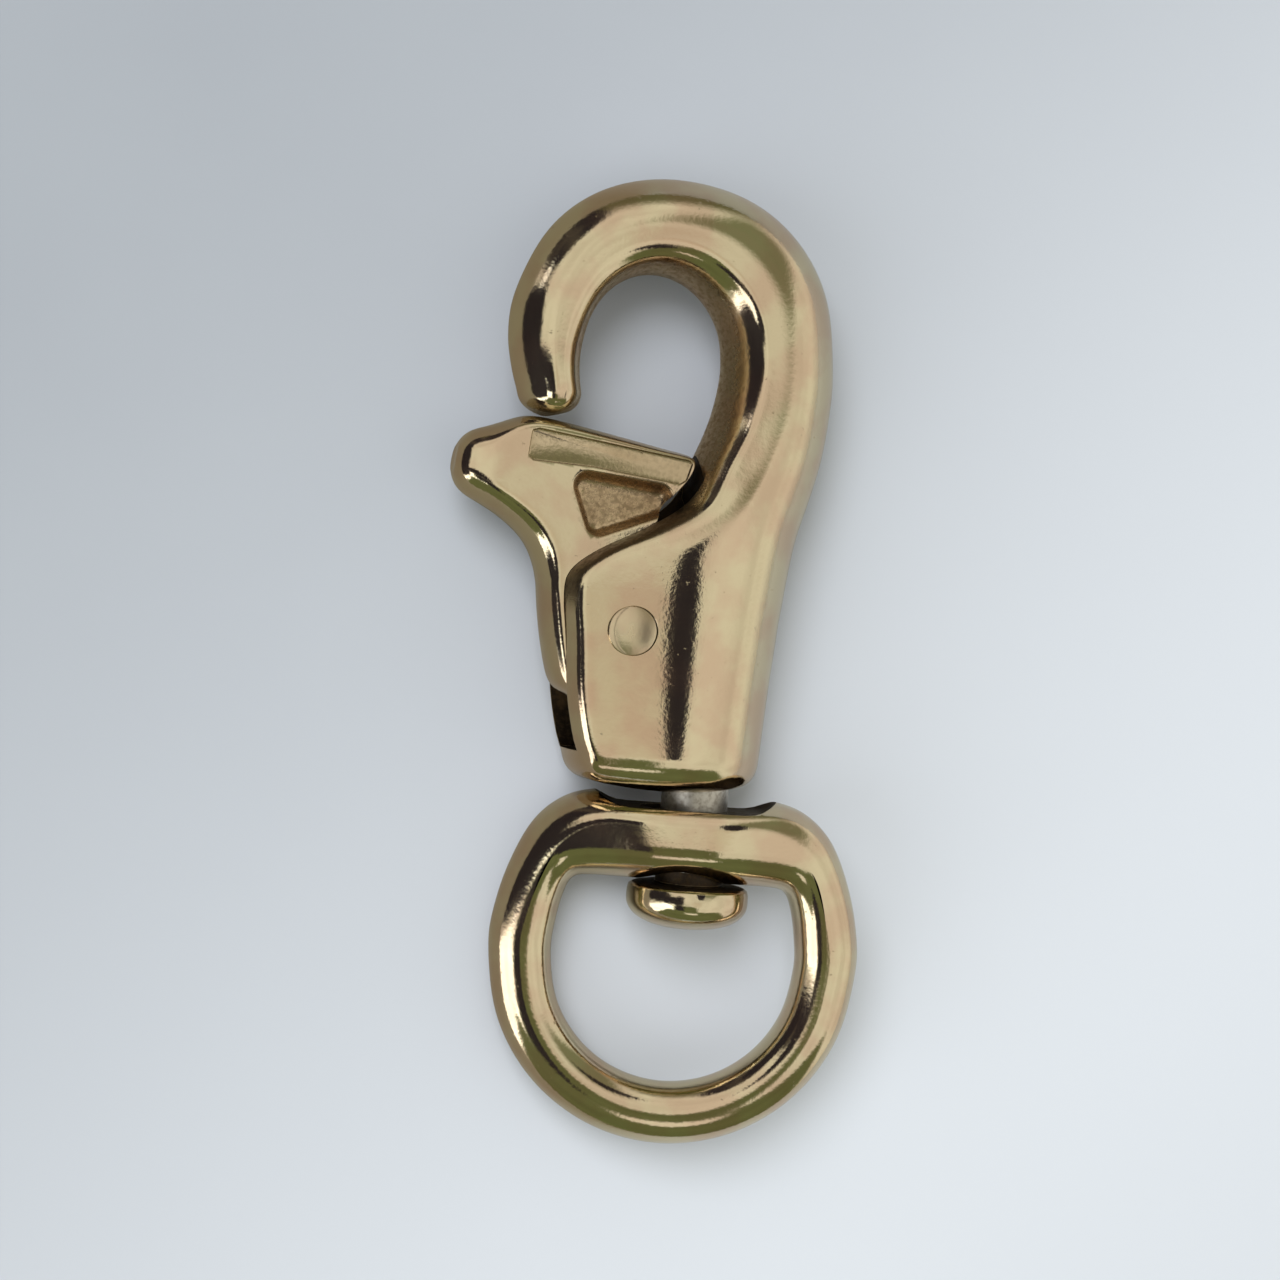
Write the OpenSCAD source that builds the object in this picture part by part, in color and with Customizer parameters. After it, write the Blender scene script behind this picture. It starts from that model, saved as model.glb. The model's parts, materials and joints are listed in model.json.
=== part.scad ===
// Trigger snap: a cast hook with a housing, a sprung trigger that closes the hook,
// and a swivel eye held by a headed stud.
// The snap lies flat. X runs across it, Y along the swivel axis towards the hook, Z up.
// All sizes are worked out from the swivel axis (x = 0) and the foot of the housing (y = 0).

/* [Hook] */
// Length of the casting, foot to top of the bow
body_len = 63.6; // [58:0.2:72]
// Width of the hook's opening at the parting line
opening_w = 15.0; // [12:0.2:18]
// Distance from the swivel axis to the middle of the opening
bow_offset = 8.4; // [6.6:0.1:10]
// Stock of the hook at the top of the bow
top_stock = 10.2; // [8:0.1:12]
// Stock of the arm that ends in the tip
tip_stock = 7.9; // [6.4:0.1:9]
// Stock of the spine, on the far side of the opening
spine_stock = 12.5; // [10:0.1:14]
// Height of the tip's end above the foot
tip_height = 37.75; // [37.75:0.05:40]
// Half thickness of the arm and the tip
arm_half = 4.1; // [3.4:0.1:4.9]
// Half thickness of the spine
spine_half = 5.5; // [4.6:0.1:6.2]

/* [Housing] */
// Distance from the swivel axis to the open edge of the cheeks
cheek_reach = 17.0; // [16:0.1:19]
// Distance from the swivel axis to the closed back of the housing
back_reach = 7.4; // [6.6:0.1:9]
// Height of the corner where the cheeks meet the shoulder
shoulder_height = 21.4; // [20.8:0.1:23]
// Half thickness of the housing over its crown
housing_half = 7.0; // [6.6:0.1:8.4]
// Rise of the crown across each cheek
crown = 0.7; // [0.3:0.1:1]
// Width of the slot between the cheeks
slot_w = 7.9; // [6.6:0.1:9.4]
// Height of the slot's floor above the foot
slot_floor = 3.7; // [3:0.1:4.2]

/* [Trigger] */
// Clearance between the trigger and each cheek
trigger_side_gap = 0.25; // [0.2:0.05:0.4]
// Clearance between the gate and the hook's tip
gate_gap = 0.3; // [0.25:0.05:0.6]
// Reach of the thumb tab from the swivel axis
tab_reach = 28.8; // [27:0.1:33]
// Height of the pivot above the foot
pivot_height = 16.25; // [15:0.05:17]
// Distance from the swivel axis to the pivot
pivot_offset = 9.9; // [9:0.1:10.8]
// Radius of the boss round the pivot
hub_r = 4.6; // [3.8:0.1:4.8]
// Depth of the cast pocket in each face
pocket_depth = 1.9; // [1:0.1:2.4]
// Depth of the long panel in each face
panel_depth = 0.35; // [0.2:0.05:0.6]

/* [Pivot pin] */
// Radius of the pin's shank
pin_r = 1.9; // [1.5:0.1:2.3]
// Radius of the peened head
pin_head_r = 2.5; // [2.4:0.1:3.2]
// Depth of the flare that holds the peened head
pin_flare = 0.9; // [0.5:0.1:1.4]
// Running clearance of the trigger on the pin
pin_clearance = 0.06; // [0.03:0.01:0.1]

/* [Trigger spring] */
// Mean radius of the coil
spring_r = 1.7; // [1.4:0.1:2]
// Thickness of the wire
wire_d = 0.6; // [0.4:0.05:0.8]
// Number of turns
spring_turns = 7; // [5:1:8]

/* [Swivel stud] */
// Radius of the stud's shank
stud_r = 3.5; // [3:0.1:4.2]
// Radius of the stud's head
stud_head_r = 6.4; // [5.6:0.1:7.4]
// Length of the stud's head
stud_head_len = 4.6; // [3.8:0.1:5.6]
// Depth that the shank is pressed into the foot
stud_grip = 5.2; // [4:0.1:5.4]
// Gap that a pressed fit is drawn with
press_gap = 0.02; // [0.01:0.01:0.03]

/* [Swivel eye] */
// Inner width of the eye
eye_inner_w = 25.6; // [20:0.2:31]
// Stock of the ring, seen from the front
eye_stock = 6.6; // [5.4:0.1:8]
// Half thickness of the ring
ring_half = 3.3; // [2.7:0.1:4]
// Half thickness of the bar that the stud passes through
bar_half = 6.0; // [5:0.1:6.4]
// Height of the bar, from the opening to its shoulders
bar_height = 9.1; // [7.6:0.05:11]
// Inner height of the eye
eye_inner_len = 21.2; // [18:0.2:26]
// Radius of the round recess in the top of the bar
recess_r = 9.2; // [7.8:0.1:10.6]
// Depth of that recess
recess_depth = 1.45; // [0.8:0.05:2]
// Gap between the foot and the shoulders of the bar
foot_gap = 0.35; // [0.3:0.05:1]
// Distance that the loose eye hangs to one side of the stud
eye_shift = 1.0; // [0:0.1:1.5]
// Gap left on the side where the eye's bore bears on the stud
stud_clearance = 0.1; // [0.05:0.01:0.1]
// Gap between the bar and the stud's head
head_gap = 0.3; // [0.2:0.05:0.6]

/* [Hidden] */

// Facets of a drilled or turned surface, and of the spring's wire
round_fn = 72;
wire_sides = 8;
coil_steps = 16;
// Points across the crown of a section, and how far the crest leans to the closed side
crown_cuts = 4;
crown_skew = 1.75;
// A cutter reaches this far past what it cuts
past = 1;

nickel = [0.79, 0.71, 0.57];
raw_steel = [0.62, 0.62, 0.62];

// Levels of the swivel, measured from the foot
shoulder_top = -foot_gap;
bar_under = shoulder_top - bar_height;
head_top = bar_under - head_gap;
eye_bottom_in = bar_under - eye_inner_len;
eye_bottom = eye_bottom_in - (eye_stock - 0.15);

// The eye falls to one side until its ring lies as low as the housing. A full section
// reaches a little further when it is tilted.
eye_mid_r = (eye_inner_w + eye_stock) / 2;
tilt_reach = 0.18;
eye_lie = asin((housing_half - ring_half - tilt_reach) / (eye_mid_r + eye_shift));

// The whole snap stands on its bounding box
box_left = -tab_reach;
box_right = (eye_mid_r - eye_shift) * cos(eye_lie) + eye_stock / 2 + 1.5 * tilt_reach;
rest_move = [-(box_left + box_right) / 2, -(body_len + eye_bottom) / 2, housing_half];

// ---- Lofting -------------------------------------------------------------
// A station is [inner edge, outer edge, half thickness, crown, inner flank, outer flank,
// roundness of the inner flank, sag]. The two edges lie on the parting line. A roundness
// of 2 is elliptical and 1 is a flat slope. Sag bows the section out along the path.

// Catmull-Rom blend of four neighbouring stations
function blend4(a, b, c, d, t) =
    0.5 * ((2 * b) + (c - a) * t + (2 * a - 5 * b + 4 * c - d) * t * t
        + (3 * b - a - 3 * c + d) * t * t * t);

// Stations filled in to `steps` between each two, along an open or a closed path
function fill_open(s, steps) =
    let (n = len(s))
    [for (i = [0:n - 2], k = [0:steps - 1])
        blend4(s[max(i - 1, 0)], s[i], s[i + 1], s[min(i + 2, n - 1)], k / steps),
     s[n - 1]];
function fill_closed(s, steps) =
    let (n = len(s))
    [for (i = [0:n - 1], k = [0:steps - 1])
        blend4(s[(i + n - 1) % n], s[i], s[(i + 1) % n], s[(i + 2) % n], k / steps)];

// Half of a section as [distance from the inner edge, height], from edge to edge
function half_section(w, half, rise, flank_in, flank_out, soft_in, soft_out, cuts) =
    [for (k = [0:cuts]) let (u = 90 * k / cuts)
        [flank_in * (1 - pow(cos(u), 2 / soft_in)), half * pow(sin(u), 2 / soft_in)],
     for (k = [1:crown_cuts]) let (s = k / (crown_cuts + 1))
        [flank_in + (w - flank_in - flank_out) * s, half + rise * sin(180 * pow(s, crown_skew))],
     for (k = [0:cuts]) let (u = 90 - 90 * k / cuts)
        [w - flank_out * (1 - pow(cos(u), 2 / soft_out)), half * pow(sin(u), 2 / soft_out)]];

// The closed ring of points of one station
function ring(s, soft_out, cuts) =
    let (w = norm(s[1] - s[0]), dir = (s[1] - s[0]) / w, fwd = [dir[1], -dir[0]],
         half = half_section(w, s[2], s[3], s[4], s[5], s[6], soft_out, cuts),
         n = len(half))
    [for (k = [0:2 * n - 3])
        let (front = k < n, p = half[front ? k : 2 * n - 2 - k],
             q = s[0] + dir * p[0] + fwd * s[7] * 4 * (p[0] / w) * (1 - p[0] / w))
        [q[0], q[1], front ? p[1] : -p[1]]];

// Skin over a row of stations; an open row is capped by strips across its two ends
module loft(stations, soft_out, cuts, closed = false) {
    rings = [for (s = stations) ring(s, soft_out, cuts)];
    n = len(rings[0]);
    m = len(rings);
    last = closed ? m - 1 : m - 2;
    skin = [for (i = [0:last], j = [0:n - 1])
        let (i2 = (i + 1) % m, j2 = (j + 1) % n)
        [i * n + j, i * n + j2, i2 * n + j2, i2 * n + j]];
    caps = closed ? [] : [for (e = [0, m - 1], j = [0:n / 2 - 1])
        let (a = e * n + j, b = e * n + j + 1, c = e * n + n - j - 1, d = e * n + (n - j) % n,
             quad = j == 0 ? [a, b, c] : j == n / 2 - 1 ? [a, b, d] : [a, b, c, d])
        e == 0 ? reversed(quad) : quad];
    polyhedron(points = [for (r = rings, p = r) p], faces = concat(skin, caps), convexity = 8);
}

// Stations that round off an end: `reach` along the path, `r` in plan and `rz` in height
function rounded_end(s, way, reach, r, rz, steps, bow) =
    let (w = norm(s[1] - s[0]), dir = (s[1] - s[0]) / w, fwd = [dir[1], -dir[0]] * way)
    [for (k = [1:steps])
        let (a = 90 * k / steps, in = r * (1 - cos(a)), f = 1 - 2 * in / w)
        [s[0] + fwd * reach * sin(a) + dir * in, s[1] + fwd * reach * sin(a) - dir * in,
         s[2] - rz * (1 - cos(a)), s[3] * cos(a), s[4] * f, s[5] * f, s[6], way * bow * sin(a)]];

function reversed(list) = [for (i = [len(list) - 1:-1:0]) list[i]];

// ---- Body ----------------------------------------------------------------
in_left = -bow_offset - opening_w / 2;
in_right = -bow_offset + opening_w / 2;
out_left = in_left - tip_stock;
out_right = in_right + spine_stock;
bow_mid = (out_left + out_right) / 2;
bow_half = (out_right - out_left) / 2;
bow_top = body_len - top_stock;
arm_straight = 7.2;
spring_line = tip_height + arm_straight;
// The outside of the bow is a little squarer than an ellipse
bow_rise = body_len - spring_line - 0.5;
bow_square = 2.15;
// Outer edge points fan out a little faster than inner ones, so sections stay square
bow_fan = 1.05;

tip_reach = 2;
tip_bow = 0.25;
tip_start = tip_height + tip_reach + tip_bow;
foot_reach = 2.5;
foot_bow = 0.7;
foot_start = foot_reach + foot_bow;

function square_off(v) = sign(v) * pow(abs(v), 2 / bow_square);
function bow_station(a) =
    let (b = a * bow_fan, s = (1 + cos(a)) / 2)
    [[-bow_offset + opening_w / 2 * cos(a), spring_line + (bow_top - spring_line) * sin(a)],
     [bow_mid + bow_half * square_off(cos(b)), body_len - bow_rise * (1 - square_off(sin(b)))],
     arm_half + (spine_half - arm_half) * s, 0.1, 2.5 + 0.9 * s, 3.8 + 2.2 * s,
     1.7 + (draft - 1.7) * s, 0];

// Height on the spine, from the shoulder (0) to the bow (1)
function lift(f) = shoulder_height + f * (spring_line - shoulder_height);

// Height on the arm, from the tip's start (0) to the bow (1)
function arm_y(f) = tip_start + f * (spring_line - tip_start);

cheek_half = housing_half - crown;
rim = 1.9;
back_flank = 6.6;
// Roundness of the inner side: drafted flat round the opening, full round on the rims
draft = 1.35;
rim_soft = 2.1;

function cheek_station(inner, outer, rise) =
    [inner, outer, cheek_half, rise, rim, back_flank, rim_soft, 0];

body_path = [
    [[in_left + 0.3, tip_start], [out_left + 1.4, tip_start], arm_half - 0.1, 0, 2.4, 3.4, 1.7, 0],
    [[in_left - 0.1, arm_y(0.45)], [out_left + 0.65, arm_y(0.45)], arm_half, 0.05, 2.5, 3.6, 1.7, 0],
    [[in_left - 0.1, spring_line], [out_left, arm_y(1.2)], arm_half, 0.1, 2.5, 3.8, 1.7, 0],
    for (a = [157.5:-22.5:0]) bow_station(a),
    [[in_right - 0.15, lift(0.88)], [out_right - 0.05, lift(0.8)], spine_half + 0.1, 0.1, 3.4, 6, draft, 0],
    [[in_right - 0.8, lift(0.74)], [out_right - 0.6, lift(0.6)], spine_half + 0.3, 0.15, 3.3, 6.2, draft, 0],
    [[in_right - 2.1, lift(0.58)], [out_right - 1.6, lift(0.42)], spine_half + 0.5, 0.25, 3, 6.4, 1.5, 0],
    [[in_right - 4.3, lift(0.38)], [back_reach + 1.5, lift(0.25)], cheek_half - 0.1, 0.45, 2.4, 6.5, 1.8, 0],
    cheek_station([in_right - 8.3, lift(0.245)], [back_reach + 0.95, lift(0.1)], 0.85 * crown),
    cheek_station([3.1 - cheek_reach, lift(0.13)], [back_reach + 0.6, lift(-0.03)], crown),
    cheek_station([0.35 - cheek_reach, lift(0.02)], [back_reach + 0.3, lift(-0.14)], crown),
    cheek_station([-cheek_reach, lift(-0.1)], [back_reach + 0.1, lift(-0.25)], crown),
    cheek_station([0.5 - cheek_reach, 15], [back_reach - 0.2, 12], crown),
    cheek_station([0.95 - cheek_reach, 9.8], [back_reach - 0.45, 8], crown),
    cheek_station([1.95 - cheek_reach, 5.2], [back_reach - 0.65, 4.8], crown),
    cheek_station([2.75 - cheek_reach, foot_start], [back_reach - 0.75, foot_start], crown)];

back_wall = 7.1;
back_wall_x = back_reach - back_wall;
stud_cover = stud_grip + 0.9;
step_x = -stud_r - 2.7;
slot_top = tip_height - 0.65;
open_x = -2 * tab_reach;

// Outline of the slot that the trigger swings in, open towards the thumb
module slot_outline() {
    polygon([[open_x, slot_floor], [step_x, slot_floor], [step_x, stud_cover],
        [back_wall_x, stud_cover], [back_wall_x, lift(0.1)], [in_right - 1.9, lift(0.4)],
        [in_right - 2.1, slot_top], [open_x, slot_top]]);
}

module along_x(x, y) {
    translate([x, y, 0]) rotate([0, 90, 0]) children();
}

module along_y(y) {
    translate([0, y, 0]) rotate([-90, 0, 0]) children();
}

module body() {
    tip = rounded_end(body_path[0], -1, tip_reach, 2.1, 2.0, 4, tip_bow);
    foot = rounded_end(body_path[len(body_path) - 1], 1, foot_reach, 2.2, 3.1, 4, foot_bow);
    color(nickel) translate(rest_move) difference() {
        loft(concat(reversed(tip), fill_open(body_path, 3), foot), 1.55, 5);
        translate([0, 0, -slot_w / 2]) linear_extrude(slot_w) slot_outline();
        translate([-pivot_offset, pivot_height, 0]) {
            cylinder(r = pin_r + press_gap, h = 2 * housing_half + 2 * past, center = true, $fn = round_fn);
            for (side = [0, 1]) mirror([0, 0, side])
                translate([0, 0, pin_head_z - pin_flare])
                    cylinder(r1 = pin_r + press_gap, r2 = flare_r(pin_flare + past) + press_gap,
                        h = pin_flare + past, $fn = round_fn);
        }
        along_x(back_wall_x - past, spring_y)
            cylinder(r = spring_seat_r, h = spring_seat + past, $fn = round_fn);
        along_y(-past) cylinder(r = stud_r + press_gap, h = stud_grip + past, $fn = round_fn);
    }
}

// ---- Pivot pin -------------------------------------------------------------
// Height of the peened head's rim, just proud of the cheek
pin_head_z = cheek_half + 0.3;
pin_dome = 0.22;
function flare_r(h) = pin_r + (pin_head_r - pin_r) * h / pin_flare;

module pivot_pin() {
    half = [[0, 0], [pin_r, 0], [pin_r, pin_head_z - pin_flare], [pin_head_r, pin_head_z],
        for (k = [1:6]) let (a = 15 * k) [pin_head_r * cos(a), pin_head_z + pin_dome * sin(a)]];
    color(nickel) translate(rest_move) translate([-pivot_offset, pivot_height, 0])
        for (side = [0, 1]) mirror([0, 0, side])
            rotate_extrude($fn = round_fn) polygon(half);
}

// ---- Trigger spring --------------------------------------------------------
spring_y = stud_cover + spring_r + wire_d / 2 + 1;
spring_seat = 1;
spring_seat_r = spring_r + wire_d / 2 + 0.25;
toe_face = -pivot_offset - 2.6;
end_play = 0.1;
spring_left = toe_face + end_play + wire_d / 2;
spring_right = back_wall_x + spring_seat - end_play - wire_d / 2;
// The first and last turns lie closed against their neighbours
closed_turns = 1;
open_turns = spring_turns - 2 * closed_turns;
open_pitch = (spring_right - spring_left - 2 * closed_turns * 1.1 * wire_d) / open_turns;

function coil_x(t) =
    t < closed_turns ? spring_left + 1.1 * wire_d * t :
    t > spring_turns - closed_turns ? spring_right - 1.1 * wire_d * (spring_turns - t) :
    spring_left + 1.1 * wire_d * closed_turns + open_pitch * (t - closed_turns);

module trigger_spring() {
    n = spring_turns * coil_steps;
    pts = [for (i = [0:n], k = [0:wire_sides - 1])
        let (a = 360 * i / coil_steps, b = 360 * k / wire_sides,
             r = spring_r + wire_d / 2 * cos(b))
        [coil_x(i / coil_steps) + wire_d / 2 * sin(b), spring_y + r * cos(a), r * sin(a)]];
    skin = [for (i = [0:n - 1], k = [0:wire_sides - 1]) let (k2 = (k + 1) % wire_sides)
        [i * wire_sides + k, i * wire_sides + k2,
         (i + 1) * wire_sides + k2, (i + 1) * wire_sides + k]];
    caps = [[for (k = [wire_sides - 1:-1:0]) k], [for (k = [0:wire_sides - 1]) n * wire_sides + k]];
    color(raw_steel) translate(rest_move)
        polyhedron(points = pts, faces = concat(skin, caps), convexity = 10);
}

// ---- Trigger ---------------------------------------------------------------
trigger_half = slot_w / 2 - trigger_side_gap;
gate_y = tip_height - gate_gap;
gate_fall = 2.7;
nose_x = in_right - 2.5;
nub_r = spring_r - wire_d / 2 - 0.15;
nub_len = 1.5;

// A point on the trigger, measured from the pivot
function lever(x, y) = [x - pivot_offset, y + pivot_height];
function trigger_station(low, high, flank_low, flank_high) =
    [low, high, trigger_half, 0, flank_low, flank_high, 2, 0];

// From the thumb tab along the gate to the nose, then down the lever to the toe
trigger_path = [
    trigger_station([2.4 - tab_reach, 28.4], [3.2 - tab_reach, 35.9], 2.2, 2.2),
    trigger_station([4.1 - tab_reach, 27.6], [5.3 - tab_reach, 36.95], 2.2, 1.8),
    trigger_station([5.7 - tab_reach, 26.8], [7.5 - tab_reach, gate_y - 0.04], 2.3, 1.6),
    trigger_station([7.2 - tab_reach, 25.7], [10.6 - tab_reach, gate_y - 0.2], 2.4, 1.4),
    trigger_station(lever(-10.6, 8.35), [nose_x - 8.3, gate_y - 0.45 * gate_fall], 2.4, 1.3),
    trigger_station(lever(-9.85, 7.2), [nose_x - 3.1, gate_y - 0.78 * gate_fall], 2.4, 1.2),
    trigger_station(lever(-9.3, 5.95), [nose_x - 0.2, gate_y - gate_fall + 0.05], 2.3, 0.9),
    trigger_station(lever(-9.05, 5.15), [nose_x - 0.1, gate_y - gate_fall - 1.2], 2.2, 0.7),
    trigger_station(lever(-8.8, 4.15), [nose_x - 1.2, gate_y - gate_fall - 3], 2.1, 0.6),
    trigger_station(lever(-8.65, 3.05), lever(hub_r - 1.6, 12.75), 2, 0.6),
    trigger_station(lever(-8.5, 1.75), lever(hub_r - 1.6, 9.25), 2, 0.6),
    trigger_station(lever(-8.25, 0.15), lever(hub_r - 0.5, 4.75), 1.9, 0.6),
    trigger_station(lever(-7.85, -1.85), lever(hub_r, 0), 1.8, 0.6),
    trigger_station(lever(-7.35, -3.85), lever(hub_r - 1.3, -3.2), 1.7, 0.6),
    trigger_station(lever(-6.85, -5.35), lever(0, -hub_r), 1.5, 0.6),
    trigger_station(lever(-6.1, -6.4), [toe_face + 0.4, spring_y + 2.2], 1.2, 0.6),
    trigger_station([toe_face - 2.3, spring_y - 0.05], [toe_face, spring_y + 1.2], 0.7, 0.5),
    trigger_station([toe_face - 1.7, spring_y - 0.75], [toe_face, spring_y - 0.75], 0.5, 0.5)];

panel_left = -21.6;
panel_right = -4.4;

// A cutter on the front face and its mirror on the back face
module both_faces() {
    for (side = [0, 1]) mirror([0, 0, side]) children();
}

module trigger_panel() {
    translate([0, 0, trigger_half - panel_depth]) linear_extrude(panel_depth + past)
        polygon([[panel_left, 33.2], [panel_left + 0.7, 32.6], [-14.5, 32.5], [panel_right - 0.9, 31.6],
            [panel_right - 0.2, 32.2], [panel_right + 0.3, 33.9], [panel_right, 34.2],
            [panel_left + 1.1, 36.0], [panel_left + 0.4, 35.8]]);
}

module trigger_pocket() {
    floor_r = 0.7;
    mouth_r = 1.5;
    hull() for (p = [[-14.9, 30.6], [-13.5, 27.1], [-7.5, 29.6], [-7.4, 30.0]])
        translate([p[0], p[1], trigger_half - pocket_depth])
            cylinder(r1 = floor_r, r2 = mouth_r, h = pocket_depth + 0.01, $fn = 32);
}

module trigger() {
    tab = rounded_end(trigger_path[0], -1, 2.3, 2.6, 1.9, 4, 0.3);
    toe = rounded_end(trigger_path[len(trigger_path) - 1], 1, 0.7, 0.4, 0.5, 3, 0);
    color(nickel) translate(rest_move) union() {
        difference() {
            loft(concat(reversed(tab), fill_open(trigger_path, 3), toe), 2, 4);
            translate([-pivot_offset, pivot_height, 0])
                cylinder(r = pin_r + pin_clearance, h = slot_w + past, center = true, $fn = round_fn);
            both_faces() trigger_panel();
            both_faces() trigger_pocket();
        }
        along_x(toe_face - 0.5, spring_y) cylinder(r = nub_r, h = nub_len + 0.5, $fn = round_fn);
    }
}

// ---- Swivel stud -----------------------------------------------------------
module swivel_stud() {
    lip = 0.5;
    widest = head_top - 1.6;
    belly = stud_head_len - 1.6;
    profile = [[0, stud_grip - press_gap], [stud_r - 0.3, stud_grip - press_gap],
        [stud_r, stud_grip - 0.3], [stud_r, head_top], [stud_head_r - 2 * lip, head_top],
        [stud_head_r - lip, head_top - 0.25 * lip], [stud_head_r - 0.2 * lip, head_top - lip],
        for (k = [0:8]) let (a = 90 * k / 8)
            [stud_head_r * pow(cos(a), 0.8), widest - belly * pow(sin(a), 0.9)]];
    color(nickel) translate(rest_move) rotate([90, 0, 0]) mirror([0, 0, 1])
        rotate_extrude($fn = round_fn) polygon(profile);
}

// ---- Swivel eye ------------------------------------------------------------
eye_in_r = eye_inner_w / 2;
eye_out_r = eye_in_r + eye_stock;
eye_in_y = eye_bottom_in + eye_in_r;
eye_out_y = eye_bottom + eye_out_r;

eye_soft = 2.4;
eye_bore_r = stud_r + eye_shift + stud_clearance;

function eye_station(inner, outer, half, flank_in, flank_out) =
    [inner, outer, half, 0, flank_in, flank_out, eye_soft, 0];
function eye_arc(a) =
    eye_station([eye_in_r * cos(a), eye_in_y + eye_in_r * sin(a)],
        [eye_out_r * cos(a), eye_out_y + eye_out_r * sin(a)], ring_half, 2.9, 3.3);
function mirrored(s) = concat([[-s[0][0], s[0][1]], [-s[1][0], s[1][1]]], [for (k = [2:7]) s[k]]);

// Right half of the eye, from just past the bottom up to near the middle of the bar
eye_side = [
    for (a = [-67.5:22.5:0]) eye_arc(a),
    eye_station([eye_in_r - 0.2, bar_under - 5.3],
        [eye_out_r - 0.3, bar_under - 3.9], ring_half + 0.1, 3, 3.4),
    eye_station([eye_in_r - 0.75, bar_under - 2.4],
        [eye_out_r - 1.5, bar_under + 0.7], ring_half + 0.3, 3.2, 3.6),
    eye_station([eye_in_r - 1.7, bar_under - 0.35],
        [eye_out_r - 3.6, shoulder_top - 3.9], ring_half + 0.7, 3.5, 3.8),
    eye_station([eye_in_r - 3.8, bar_under],
        [eye_out_r - 6.5, shoulder_top - 1.2], bar_half - 1.5, 3.7, 3.6),
    eye_station([eye_in_r - 6.8, bar_under],
        [eye_out_r - 9.9, shoulder_top - 0.1], bar_half - 0.85, 3.8, 3.2),
    eye_station([eye_in_r - 9.8, bar_under],
        [eye_out_r - 14.4, shoulder_top], bar_half - 0.1, 3.8, 3)];

module swivel_eye() {
    bar_middle = eye_station([0, bar_under], [0, shoulder_top], bar_half, 3.8, 3);
    left = [for (s = eye_side) mirrored(s)];
    path = concat([eye_arc(-90)], left, [bar_middle], reversed(eye_side));
    color(nickel) translate(rest_move) rotate([0, -eye_lie, 0]) translate([-eye_shift, 0, 0])
        difference() {
            loft(fill_closed(path, 3), 2.1, 5, closed = true);
            along_y(bar_under - past)
                cylinder(r = eye_bore_r, h = bar_height + 2 * past, $fn = round_fn);
            along_y(shoulder_top - recess_depth)
                cylinder(r = recess_r, h = recess_depth + past, $fn = round_fn);
        }
}

body();
trigger();
pivot_pin();
trigger_spring();
swivel_stud();
swivel_eye();
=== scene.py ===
import json
import math
import bmesh
import bpy
import numpy as np
from mathutils import Matrix, Vector


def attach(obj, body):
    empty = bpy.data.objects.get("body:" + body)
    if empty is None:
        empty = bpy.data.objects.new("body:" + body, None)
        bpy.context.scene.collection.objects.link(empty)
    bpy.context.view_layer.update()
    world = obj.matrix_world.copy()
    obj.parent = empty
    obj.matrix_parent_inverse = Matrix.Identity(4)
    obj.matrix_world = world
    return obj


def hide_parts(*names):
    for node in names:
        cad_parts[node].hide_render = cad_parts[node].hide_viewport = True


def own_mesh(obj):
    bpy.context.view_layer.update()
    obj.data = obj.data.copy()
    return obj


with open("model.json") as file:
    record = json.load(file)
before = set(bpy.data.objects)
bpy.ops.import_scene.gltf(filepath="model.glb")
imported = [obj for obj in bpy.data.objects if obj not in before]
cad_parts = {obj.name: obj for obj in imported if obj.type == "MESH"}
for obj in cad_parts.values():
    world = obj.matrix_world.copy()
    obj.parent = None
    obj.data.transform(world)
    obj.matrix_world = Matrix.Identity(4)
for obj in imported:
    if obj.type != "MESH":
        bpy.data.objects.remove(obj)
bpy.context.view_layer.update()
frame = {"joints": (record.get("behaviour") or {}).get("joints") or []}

# ---- Body ------------------------------------------------------------------
# The hook and the housing of the trigger are one casting, ground and tumbled smooth
# and then plated with warm nickel. Its skin is lofted over sections across the metal,
# and the slot, the bores and the spring seat are cut out of it.

MM = 0.001
JOINTS = {j["name"]: Vector(j["pos_m"]) for j in frame["joints"]}
SWIVEL = JOINTS["eye_swivel"]
PIVOT = JOINTS["trigger_pivot"]
# Sizes are in mm from the swivel axis, the foot of the housing and the parting plane
PIVOT_HEIGHT = 16.25
PIVOT_OFFSET = (SWIVEL.x - PIVOT.x) / MM
FOOT = np.array([SWIVEL.x, PIVOT.y - PIVOT_HEIGHT * MM, SWIVEL.z])

FLANK_CUTS = 14
CROWN_CUTS = 20
SPAN_STEPS = 12
END_STEPS = 14
CAP_RINGS = (0.8, 0.55, 0.25)
# A cutter reaches this far past what it cuts
PAST = 1

# Rise of the crown across each cheek, and where between its flanks a section is highest
CROWN = 0.7
CREST_SHARE = 0.673
# Where the crown has risen enough, its crest stays at one place across, within two shares
CREST_X = -4.4
CREST_LEAST, CREST_MOST = 0.42, CREST_SHARE + 0.05
CREST_RISE, CREST_START, CREST_SPAN = 0.3, 0.3, 0.6


def lerp(a, b, t):
    return a + (b - a) * t


def fill(stations, closed=False):
    """Catmull-Rom filling of a row of stations, SPAN_STEPS to a span."""
    s = np.array(stations, float)
    n = len(s)
    rows = []
    for i in range(n if closed else n - 1):
        if closed:
            a, b, c, d = (s[(i + k) % n] for k in (-1, 0, 1, 2))
        else:
            a, b, c, d = (s[min(max(i + k, 0), n - 1)] for k in (-1, 0, 1, 2))
        for k in range(SPAN_STEPS):
            t = k / SPAN_STEPS
            rows.append(0.5 * (2 * b + (c - a) * t + (2 * a - 5 * b + 4 * c - d) * t ** 2
                               + (3 * b - a - 3 * c + d) * t ** 3))
    if not closed:
        rows.append(s[-1])
    return rows


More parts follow.
